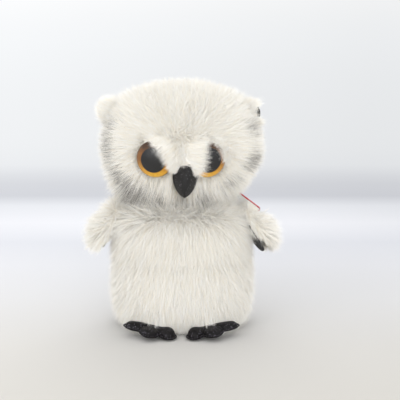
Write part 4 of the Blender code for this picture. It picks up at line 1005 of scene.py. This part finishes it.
def build_torso():
    """The torso's skin with its pile; places and lengths in the fields are millimetres."""
    skin = torso_backing()
    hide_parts("torso_front_panel", "torso_back_panel_left", "torso_back_panel_right")
    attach(skin, "torso")
    spots, normal = places(skin), normals(skin)
    x, y, z = (spots / MM).T
    in_front = y < 0
    shoulder = smooth(48, 76, z)
    corner = smooth(20, 32, -x) * smooth(58, 72, z)
    chest = smooth(56, 70, z) * smooth(30, 24, np.abs(x)) * in_front
    over_feet = hump(11, 8, z) * hump(17, 15, np.abs(x)) * in_front
    under_tag = smooth(20, 28, x) * smooth(-6, 2, y) * smooth(62, 68, z)
    beside_wing = smooth(36, 40, x) * hump(50, 10, z) * (y < 6)
    comb = tangent(np.array([0.0, 0, -1]), normal)
    comb = comb * (0.85 + 1.0 * shoulder * (1 - corner) - 0.5 * corner)[:, None]
    comb[:, 0] += 0.5 * np.sign(x) * corner
    comb = comb * (1 - 0.35 * chest)[:, None]
    comb[:, 1] -= 0.5 * over_feet
    pile = TORSO_HAIR - 2.6 * smooth(14, 2, z) + 2.4 * shoulder + 3.9 * corner - 5.5 * under_tag
    pile = pile + 5.0 * over_feet - 2.5 * beside_wing - 4.0 * smooth(9, 3, z) * in_front + 4.0 * chest
    to_head = np.linalg.norm(spots - np.array(HEAD_CENTRE), axis=1) / MM
    thick = smooth(37.4, 39.5, to_head) * smooth(0.6, 1.5, z)

    # Painted shade: a line of dark hairs in the fold where the left wing meets the chest, standing in for
    # the shade in that crease
    from_fold = np.stack([x, z], axis=1) - WING_FOLD_START
    along, beside = (from_fold @ np.array(way) for way in (WING_FOLD_WAY, WING_FOLD_SIDE))
    fold_shade = hump(0, 3.4, beside) * smooth(-1, 1, along) * smooth(16, 12, along) * in_front
    fields = {"comb": comb, "pile": pile * MM, "thick": thick, "tone": 0.01 + 1.2 * fold_shade,
              "loose": 1 + 1.4 * smooth(54, 72, z)}
    for name, node, mask, density in (
            ("belly_fur", "torso_front_panel", in_front & (z < 46), 8.5),
            ("chest_fur", "torso_front_panel", in_front & (z >= 46), 10),
            ("back_left_fur", "torso_back_panel_left", ~in_front & (x >= 0), 8),
            ("back_right_fur", "torso_back_panel_right", ~in_front & (x < 0), 8)):
        fur = grow_fur(name, skin.data, masked(fields, mask), "torso", density, spread=0.48,
                       seed=len(name), lock_pull=0.05, droop=0.12)
        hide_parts(node)


def build_wing(side, label):
    """A short wing of pile, with a glitter lining on its inner side that shows on the left wing."""
    root = Vector((side * WING_ROOT_SPREAD, 0, WING_ROOT_HEIGHT))
    down = Vector((side * math.sin(WING_LEAN), 0, -math.cos(WING_LEAN)))
    outward = Vector((side * math.cos(WING_LEAN), 0, math.sin(WING_LEAN)))
    twist, length = math.tan(WING_TWISTS[label]), WING_CLOTH_LENGTHS[label]
    left = label == "left"

    def bend(along, over, out):
        reach = max(along, 0.0) / WING_LENGTH
        cup = -WING_CUP * reach ** 2 - WING_CUP * reach * (over / WING_HALF_WIDTH) ** 2
        return root + down * along + FRONT * over + outward * (out + cup + over * twist * reach)

    def bend_lining(along, over, out):
        sag = WING_SAGS[label] * float(hump(0.42, 0.36, along / WING_LENGTH))
        return bend(along, over, out - WING_LINING_BEHIND - sag)

    stations, lining_stations = [], []
    steps = 20
    for step in range(steps):
        share = math.sin(math.pi / 2 * step / steps)
        along = (length + WING_ROOT_OVERLAP) * share - WING_ROOT_OVERLAP
        reach = max(along, 0) / length
        taper = math.sqrt(max(0.0, 1 - reach ** WING_TAPER_POWER))
        widening = (WING_HALF_WIDTH - WING_ROOT_HALF_WIDTH) * float(smooth(0, 0.5, reach))
        half = (WING_ROOT_HALF_WIDTH - WING_CLOTH_INSET + widening) * taper
        stations.append((along, half, WING_CLOTH_OUTER * math.sqrt(taper),
                         WING_CLOTH_INNER * math.sqrt(taper)))
        if reach > WING_LINING_START_SHARE:
            lining_stations.append((along * WING_LINING_SHARE, half + WING_HEMS[label] * taper,
                                    LINING_HALF_DEPTH, LINING_HALF_DEPTH))
    skin = mesh_object(f"wing_{label}_backing", flap_points(stations, bend),
                       grid_faces(len(stations), FLAP_COLUMNS), BACKING)
    body = f"wing_{label}"
    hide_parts(f"wing_{label}_plush")
    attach(skin, body)

    # Down the wing, longest on its outer side, short inside; the top runs over onto the shoulder
    spots, normal = places(skin), normals(skin)
    facing = normal @ np.array(outward)
    reach = (spots - np.array(root)) @ np.array(down) / WING_LENGTH
    outer = smooth(-0.1, 0.7, facing) * hump(0.3, 0.42, reach)
    inner = smooth(0.2, -0.4, facing) * smooth(0.05, 0.35, reach)
    top = smooth(0.1, -0.08, reach)
    comb = tangent(np.array(down), normal) * (1.3 - 0.75 * outer)[:, None]
    comb = comb * (1 - top[:, None]) + tangent(np.array(-outward) * 0.5, normal) * top[:, None]
    pile = WING_HAIR - 1.5 * smooth(0.3, 0.9, reach) - 4.8 * inner + 4.4 * outer
    pile = pile - 2.2 * smooth(0.5, 0.66, reach)
    pile = pile + (-4.4 * smooth(0.26, 0.0, reach) if left else 2.0 * top)
    thick = np.where(facing < -0.6, smooth(0.5, 0.3, reach) + smooth(5, 8, np.abs(spots[:, 1]) / MM), 1.0)
    if left:
        front = spots[:, 1] < 4 * MM
        edge = np.where(front, smooth(0.5, 0.15, facing), smooth(0.0, -0.3, facing))
        thick = thick * (1 - smooth(0.34, 0.44, reach) * edge)
        lifted = 0.9 * hump(0.45, 0.5, facing) * smooth(0.2, 0.36, reach) * front
        comb = comb + np.array(outward) * lifted[:, None]
    fields = {"comb": comb, "pile": pile * MM, "thick": thick, "tone": np.full(len(spots), 0.02)}
    fur = grow_fur(f"wing_{label}_fur", skin.data, fields, body, 12, spread=0.7, lock_turn=0.25,
                   seed=51 + side)
    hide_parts(f"wing_{label}_plush")
    lining = mesh_object(f"wing_{label}_glitter_lining", flap_points(lining_stations, bend_lining),
                         grid_faces(len(lining_stations), FLAP_COLUMNS), GLITTER)
    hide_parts(f"wing_{label}_lining")
    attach(lining, body)


def inflate(thing, firmness):
    """Blow a sewn pad up as cloth; firmness says how strongly each point is held."""
    remesh = thing.modifiers.new("even_cloth", "REMESH")
    remesh.mode = "VOXEL"
    remesh.voxel_size = PAD_VOXEL
    mesh = evaluated_mesh(thing, "pad_at_work")
    start = places(mesh)
    work = linked("pad_at_work", mesh)
    mesh.vertices.foreach_set("co", (start * SIMULATED_SCALE).ravel())
    held = work.vertex_groups.new(name="held")
    for index, share in enumerate(firmness(start)):
        held.add([index], float(share), "REPLACE")
    cloth = work.modifiers.new("cloth", "CLOTH")
    for name, value in CLOTH_SETTINGS.items():
        setattr(cloth.settings, name, value)
    cloth.settings.vertex_group_mass = "held"
    cloth.settings.effector_weights.gravity = 0
    cloth.collision_settings.use_collision = False
    cloth.point_cache.frame_end = PAD_FRAMES
    for step in range(1, PAD_FRAMES + 1):
        bpy.context.scene.frame_set(step)
    evaluated = work.evaluated_get(bpy.context.evaluated_depsgraph_get())
    move = places(evaluated.to_mesh()) / SIMULATED_SCALE - start
    evaluated.to_mesh_clear()
    work.modifiers.remove(cloth)
    bpy.context.scene.frame_set(1)
    far = np.maximum(np.linalg.norm(move, axis=1, keepdims=True), 1e-12)
    mesh.vertices.foreach_set("co", (start + move * np.minimum(1, PAD_RISE / far)).ravel())
    work.vertex_groups.clear()
    finer = work.modifiers.new("finer", "SUBSURF")
    finer.levels = finer.render_levels = 1
    puffed = evaluated_mesh(work, thing.name)
    bpy.data.objects.remove(work, do_unlink=True)
    thing.modifiers.clear()
    material = thing.data.materials[0]
    thing.data = puffed
    puffed.materials.clear()
    puffed.materials.append(material)
    puffed.shade_smooth()


def stitch_tree():
    """A row of stitches: one short thread at each point of a line, laid along it and flat on the seam."""
    tree, node, given = open_tree("row_of_stitches", Geometry="Geometry", Stitch="Object",
                                  Stitch_Size="Float", Material="Material")
    heading, upright = (node("GeometryNodeInputNamedAttribute", {"Name": name}, data_type="FLOAT_VECTOR")
                        for name in ("heading", "upright"))
    turned = node("FunctionNodeAlignRotationToVector", {"Vector": heading}, axis="X")
    turned = node("FunctionNodeAlignRotationToVector", {"Rotation": turned, "Vector": upright},
                  axis="Z", pivot_axis="X")
    points = node("GeometryNodeMeshToPoints", {"Mesh": given["Geometry"]})
    thread = node("GeometryNodeObjectInfo", {"Object": given["Stitch"]}).outputs["Geometry"]
    row = node("GeometryNodeInstanceOnPoints", {"Points": points, "Instance": thread, "Rotation": turned,
                                                "Scale": given["Stitch Size"]})
    loose = node("GeometryNodeRealizeInstances", {"Geometry": row})
    finished = node("GeometryNodeSetMaterial", {"Geometry": loose, "Material": given["Material"]})
    node("NodeGroupOutput", {"Geometry": finished})
    return tree


def one_stitch():
    """A thread that dips into the cloth at both ends, one unit long."""
    sides = 6
    turns = [math.tau * corner / sides for corner in range(sides)]
    points = [(place, half * math.cos(turn), lift + half * math.sin(turn))
              for place, half, lift in ((-0.5, 0.06, -0.12), (-0.3, 0.13, 0.03), (0.0, 0.16, 0.1),
                                        (0.3, 0.13, 0.03), (0.5, 0.06, -0.12)) for turn in turns]
    made = mesh_object("one_stitch", points, grid_faces(5, sides))
    made.hide_render = True
    return made


def sew_row(name, spots, headings, uprights, size):
    """Stitches at spots as one plain mesh."""
    mesh = bpy.data.meshes.new(name)
    mesh.from_pydata([tuple(spot) for spot in spots], [], [])
    set_fields(mesh, {"heading": headings, "upright": uprights})
    sewn = run_tree(STITCH_TREE, linked("row_at_work", mesh), name,
                    {"Stitch": STITCH, "Stitch Size": size, "Material": THREAD})
    sewn.shade_smooth()
    return linked(name, sewn)


def foot_outline(columns):
    """The foot's cut edge, seen from above, in millimetres sideways and forwards of the heel."""
    count = len(FOOT_OUTLINE_SHARES)
    closed = [FOOT_OUTLINE_SHARES[index % count] for index in range(-1, count + 3)]
    outline = []
    for column in range(columns):
        place = column / columns * count
        start = int(place)
        outline.append(curve_at(closed[start:start + 4], (1 + place - start) / 3)[0])
    return np.array(outline) * np.array([FOOT_HALF_WIDTH, FOOT_LENGTH]) / MM


def off_segment(spots, start, end):
    """Distance of points from a straight line between two points."""
    start, end = np.array(start), np.array(end)
    line = end - start
    share = np.clip(((spots - start) @ line) / (line @ line), 0, 1)
    return np.linalg.norm(spots - start - share[:, None] * line, axis=1)


def build_foot(side, label):
    """A padded foot: a puffed upper with three toes, its seam with stitches, and its flat sole."""
    heel = Vector((side * FOOT_SPREAD, -FOOT_FORWARD, 0))
    forward = Vector((side * math.sin(FOOT_SPLAY), -math.cos(FOOT_SPLAY), 0))
    sideways = Vector((side * math.cos(FOOT_SPLAY), math.sin(FOOT_SPLAY), 0))
    tilt = Matrix.Rotation(side * FOOT_ROLL, 3, forward)
    base = np.array(heel + UP * (FOOT_HALF_WIDTH * math.sin(FOOT_ROLL) + FOOT_LIFT))
    axes = np.array([tilt @ sideways, forward, tilt @ UP])
    columns = 168
    outline = foot_outline(columns)
    middle = np.array([0.0, FOOT_MIDDLE_SHARE * FOOT_LENGTH / MM])

    def placed(flat, heights):
        local = np.column_stack([flat, np.broadcast_to(heights, len(flat))])
        return base + local * MM @ axes

    def groove(flat):
        return np.minimum(*(off_segment(flat, start, end) for start, end in TOE_SEAMS))

    def height(flat):
        apart = np.linalg.norm(flat[:, None, :] - outline[None, :, :], axis=2).min(axis=1)
        puff = np.sqrt(1 - (1 - np.clip(apart / TOE_SHOULDER, 0, 1)) ** 2)
        top = (FOOT_HEIGHT / MM - SEAM_LEVEL) * (0.86 + 0.45 * smooth(-5, -11, flat[:, 0]))
        return SEAM_LEVEL + puff * (top - TOE_SEAM_DEPTH * hump(0, 1.5, groove(flat)))

    def firmness(spots):
        local = (spots - base) @ axes.T / MM
        rim = smooth(SEAM_LEVEL + 0.7, SEAM_LEVEL + 0.3, local[:, 2])
        return np.maximum(rim, smooth(0.8, 0.4, groove(local[:, :2])))

    def shrunk(scale):
        return middle + (outline - middle) * scale

    rows = [placed(shrunk(0.96), SEAM_LEVEL - 0.25)]
    for scale in np.concatenate([np.linspace(1.0, 0.72, 9), np.linspace(0.66, 0.06, 10)]):
        rows.append(placed(shrunk(scale), height(shrunk(scale))))
    upper = mesh_object(f"foot_{label}_puffed_upper", np.concatenate(rows),
                        grid_faces(len(rows), columns), GLITTER)
    inflate(upper, firmness)

    along = np.roll(outline, -1, axis=0) - np.roll(outline, 1, axis=0)
    out = unit(np.stack([along[:, 1], -along[:, 0]], axis=1))
    if (out * (outline - middle)).sum() < 0:
        out = -out
    edge = outline + out * SEAM_WIDTH
    rows = [placed(flat, SEAM_LEVEL + lift)
            for flat, lift in ((outline, -0.2), (edge, -0.15), (edge + out * 0.1, 0.05), (edge, 0.2),
                               (outline, 0.3))]
    seam_faces = grid_faces(len(rows), columns, caps=False)
    seam_faces += [(4 * columns + column, 4 * columns + (column + 1) % columns,
                    (column + 1) % columns, column) for column in range(columns)]
    seam = mesh_object(f"foot_{label}_seam", np.concatenate(rows), seam_faces, GLITTER)

    steps = np.linalg.norm(np.roll(edge, -1, axis=0) - edge, axis=1)
    reach = np.concatenate([[0], np.cumsum(steps)])
    count = int(reach[-1] / STITCH_SPACING)
    picked = np.searchsorted(reach, np.arange(count) * reach[-1] / count) % columns
    flat = outline[picked] + out[picked] * SEAM_WIDTH * 0.45
    stitches = sew_row(f"foot_{label}_stitches", placed(flat, SEAM_LEVEL + 0.27),
                       unit(along[picked]) @ axes[:2], np.tile(axes[2], (count, 1)),
                       STITCH_SPACING * STITCH_SHARE * MM)
    rows = [placed(shrunk(scale), level)
            for scale, level in ((0.94, 0.0), (0.985, 0.15), (0.985, 0.45), (0.96, SEAM_LEVEL - 0.22))]
    sole = mesh_object(f"foot_{label}_glitter_sole", np.concatenate(rows), grid_faces(4, columns), GLITTER)
    body = f"foot_{label}"
    for piece, node in ((upper, "upper"), (seam, "upper"), (stitches, "upper"), (sole, "sole")):
        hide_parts(f"foot_{label}_{node}")
        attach(piece, body)
    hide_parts(f"foot_{label}_batting")


def clean_copy(node, name, material):
    """A smoothed copy of a solid, its points joined."""
    work = bmesh.new()
    work.from_mesh(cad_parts[node].data)
    bmesh.ops.remove_doubles(work, verts=work.verts, dist=0.001 * MM)
    mesh = bpy.data.meshes.new(name)
    work.to_mesh(mesh)
    work.free()
    mesh.materials.clear()
    mesh.materials.append(material)
    mesh.shade_smooth()
    return linked(name, mesh)


def build_tag():
    """The blank card in the solid's own form, with a colour map laid flat on both faces."""
    made = clean_copy("tag_card", "tag_printed_card", CARD)
    made.data.shade_flat()
    normal = Vector((math.cos(TAG_SLOPE) * math.cos(TAG_FACING), math.cos(TAG_SLOPE) * math.sin(TAG_FACING),
                     math.sin(TAG_SLOPE)))
    fall = (-UP - normal * (-UP).dot(normal)).normalized()
    level = normal.cross(fall)
    chart_axes = (fall * math.sin(TAG_TURN) - level * math.cos(TAG_TURN),
                  fall * math.cos(TAG_TURN) + level * math.sin(TAG_TURN))
    marks = places(made) @ np.array(chart_axes).T
    low, high = marks.min(axis=0), marks.max(axis=0)
    marks = (marks - low) / (high - low) * 0.96 + 0.02
    chart = made.data.uv_layers.new(name="OFBake")
    for loop in made.data.loops:
        chart.uv[loop.index].vector = marks[loop.vertex_index]
    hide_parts("tag_card")
    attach(made, "tag")


def build_inside():
    """Fillings and hidden fastenings."""
    for node, name, material, body, slot in (
            ("torso_stuffing", "torso_fibre_fill", FIBRE, "torso", "polyester_fibre"),
            ("pellet_bag", "pellet_bag_gauze", PELLETS, "torso", "pellet_bag_cloth"),
            ("head_stuffing", "head_fibre_fill", FIBRE, "head", "polyester_fibre")):
        made = clean_copy(node, name, material)
        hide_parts(node)
        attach(made, body)
    for node, material in (("base_panel", BASE), ("neck_collar", BASE), ("eye_left_core", BLACK_PLASTIC),
                           ("eye_right_core", BLACK_PLASTIC), ("eye_left_washer", WHITE_PLASTIC),
                           ("eye_right_washer", WHITE_PLASTIC), ("tag_fastener", CLEAR_PLASTIC),
                           ("care_label", SATIN)):
        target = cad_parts[node]
        for place in target.material_slots:
            place.material = material


# Stage

def seen_directly(node):
    """1 for rays that show a backdrop itself: straight from the camera, off gloss and through glass."""
    path = node("ShaderNodeLightPath").outputs
    seen = node(NUMBER, {0: path["Is Camera Ray"], 1: path["Is Glossy Ray"]}, operation="MAXIMUM")
    return node(NUMBER, {0: seen, 1: path["Is Transmission Ray"]}, operation="MAXIMUM")


def floor_material():
    """Matt paper floor, darker towards the front, with faint cool grey bands of painted shade behind the owl
    where a backdrop's bend would lie in shadow; it brightens into the distance, and painted shade darkens
    it towards the owl's left.
    """
    made, node, shader = new_material("matt_paper_floor", roughness=0.9)
    place = node("ShaderNodeTexCoord").outputs["Object"]
    parts = node("ShaderNodeSeparateXYZ", {"Vector": place}).outputs
    far = node(VECTOR, {0: place}, operation="LENGTH").outputs["Value"]
    behind, height, horizon, near_far, fade = (
        node(RANGE, {"Value": value, "From Min": start, "From Max": end}, interpolation_type=course)
        for value, start, end, course in (
            (parts["Y"], -0.2, 0.8, "LINEAR"), (far, 0.8, 5.0, "LINEAR"), (far, 5.3, 11.0, "LINEAR"),
            (far, 0.6, 0.9, "LINEAR"), (far, 0.25, 0.5, "SMOOTHSTEP")))
    # Painted shade: floor and glow darken towards the owl's left, +x, as if less light fell on that side
    from_view = node(NUMBER, {0: far, 1: VIEW_DISTANCE}, operation="ADD")
    fan = node(NUMBER, {0: parts["X"], 1: from_view}, operation="DIVIDE")
    across = node(RANGE, {"Value": fan, "From Min": -0.12, "From Max": 0.12, "To Min": 1.0, "To Max": 0.9})
    even = node(MIX, {0: horizon, 2: across, 3: 1.0}, data_type="FLOAT").outputs[0]
    # Painted shade: the ramp's grey bands behind the owl stand for the shadow in a backdrop's bend
    paper = node(VECTOR, {0: node(RAMP, {"Fac": behind}, FLOOR_AND_SHADE_STOPS), "Scale": across}, operation="SCALE")
    glow = node(VECTOR, {0: node(RAMP, {"Fac": height}, DISTANCE_STOPS), "Scale": even}, operation="SCALE")
    share = node(NUMBER, {0: seen_directly(node), 1: fade}, operation="MULTIPLY")
    painted = node(MIX, {"Factor": near_far, 6: paper, 7: glow}, data_type="RGBA")
    bright = node("ShaderNodeEmission", {"Color": painted, "Strength": 1.0})
    mixed = node("ShaderNodeMixShader", {0: share, 1: shader, 2: bright})
    fill(shader, {"Base Color": paper})
    fill(made.node_tree.nodes["Material Output"], {"Surface": mixed})
    return made


def build_stage():
    """Plain pale floor, soft light, and the camera."""
    edge = FLOOR_HALF_SIZE
    floor = mesh_object("floor", [(-edge, -edge, 0), (edge, -edge, 0), (edge, edge, 0), (-edge, edge, 0)],
                        [(0, 1, 2, 3)], floor_material())

    scene = bpy.context.scene
    scene.world = bpy.data.worlds.new("studio")
    scene.world.use_nodes = True
    scene.world.node_tree.nodes.clear()
    node = partial(add_node, scene.world.node_tree)
    ambient = node("ShaderNodeBackground", {"Color": "#FFFFFF", "Strength": AMBIENT})
    white = node("ShaderNodeBackground", {"Color": "#FAFBFD", "Strength": 1.0})
    mixed = node("ShaderNodeMixShader", {0: seen_directly(node), 1: ambient, 2: white})
    node("ShaderNodeOutputWorld", {"Surface": mixed})

    for name, spot, size, power in LAMPS:
        lamp = bpy.data.lights.new(name, "AREA")
        lamp.size = size
        lamp.energy = power
        made = linked(name, lamp)
        made.location = spot
        made.rotation_euler = (HEAD_CENTRE * 0.7 - Vector(spot)).to_track_quat("-Z", "Y").to_euler()

    camera = linked("camera", bpy.data.cameras.new("camera"))
    camera.data.lens = VIEW_LENS
    back = Vector((0, -math.cos(VIEW_ELEVATION), math.sin(VIEW_ELEVATION)))
    camera.location = VIEW_TARGET + back * VIEW_DISTANCE
    camera.rotation_euler = (-back).to_track_quat("-Z", "Y").to_euler()
    bpy.context.scene.camera = camera
    bpy.context.scene.view_settings.view_transform = "Standard"


STITCH_TREE = stitch_tree()
STITCH = one_stitch()

build_stage()
build_torso()
build_head()
for side, label in SIDES:
    build_ear(side, label)
    build_wing(side, label)
    build_foot(side, label)
build_tag()
build_inside()
bpy.data.objects.remove(HAIR, do_unlink=True)
bpy.data.objects.remove(STITCH, do_unlink=True)
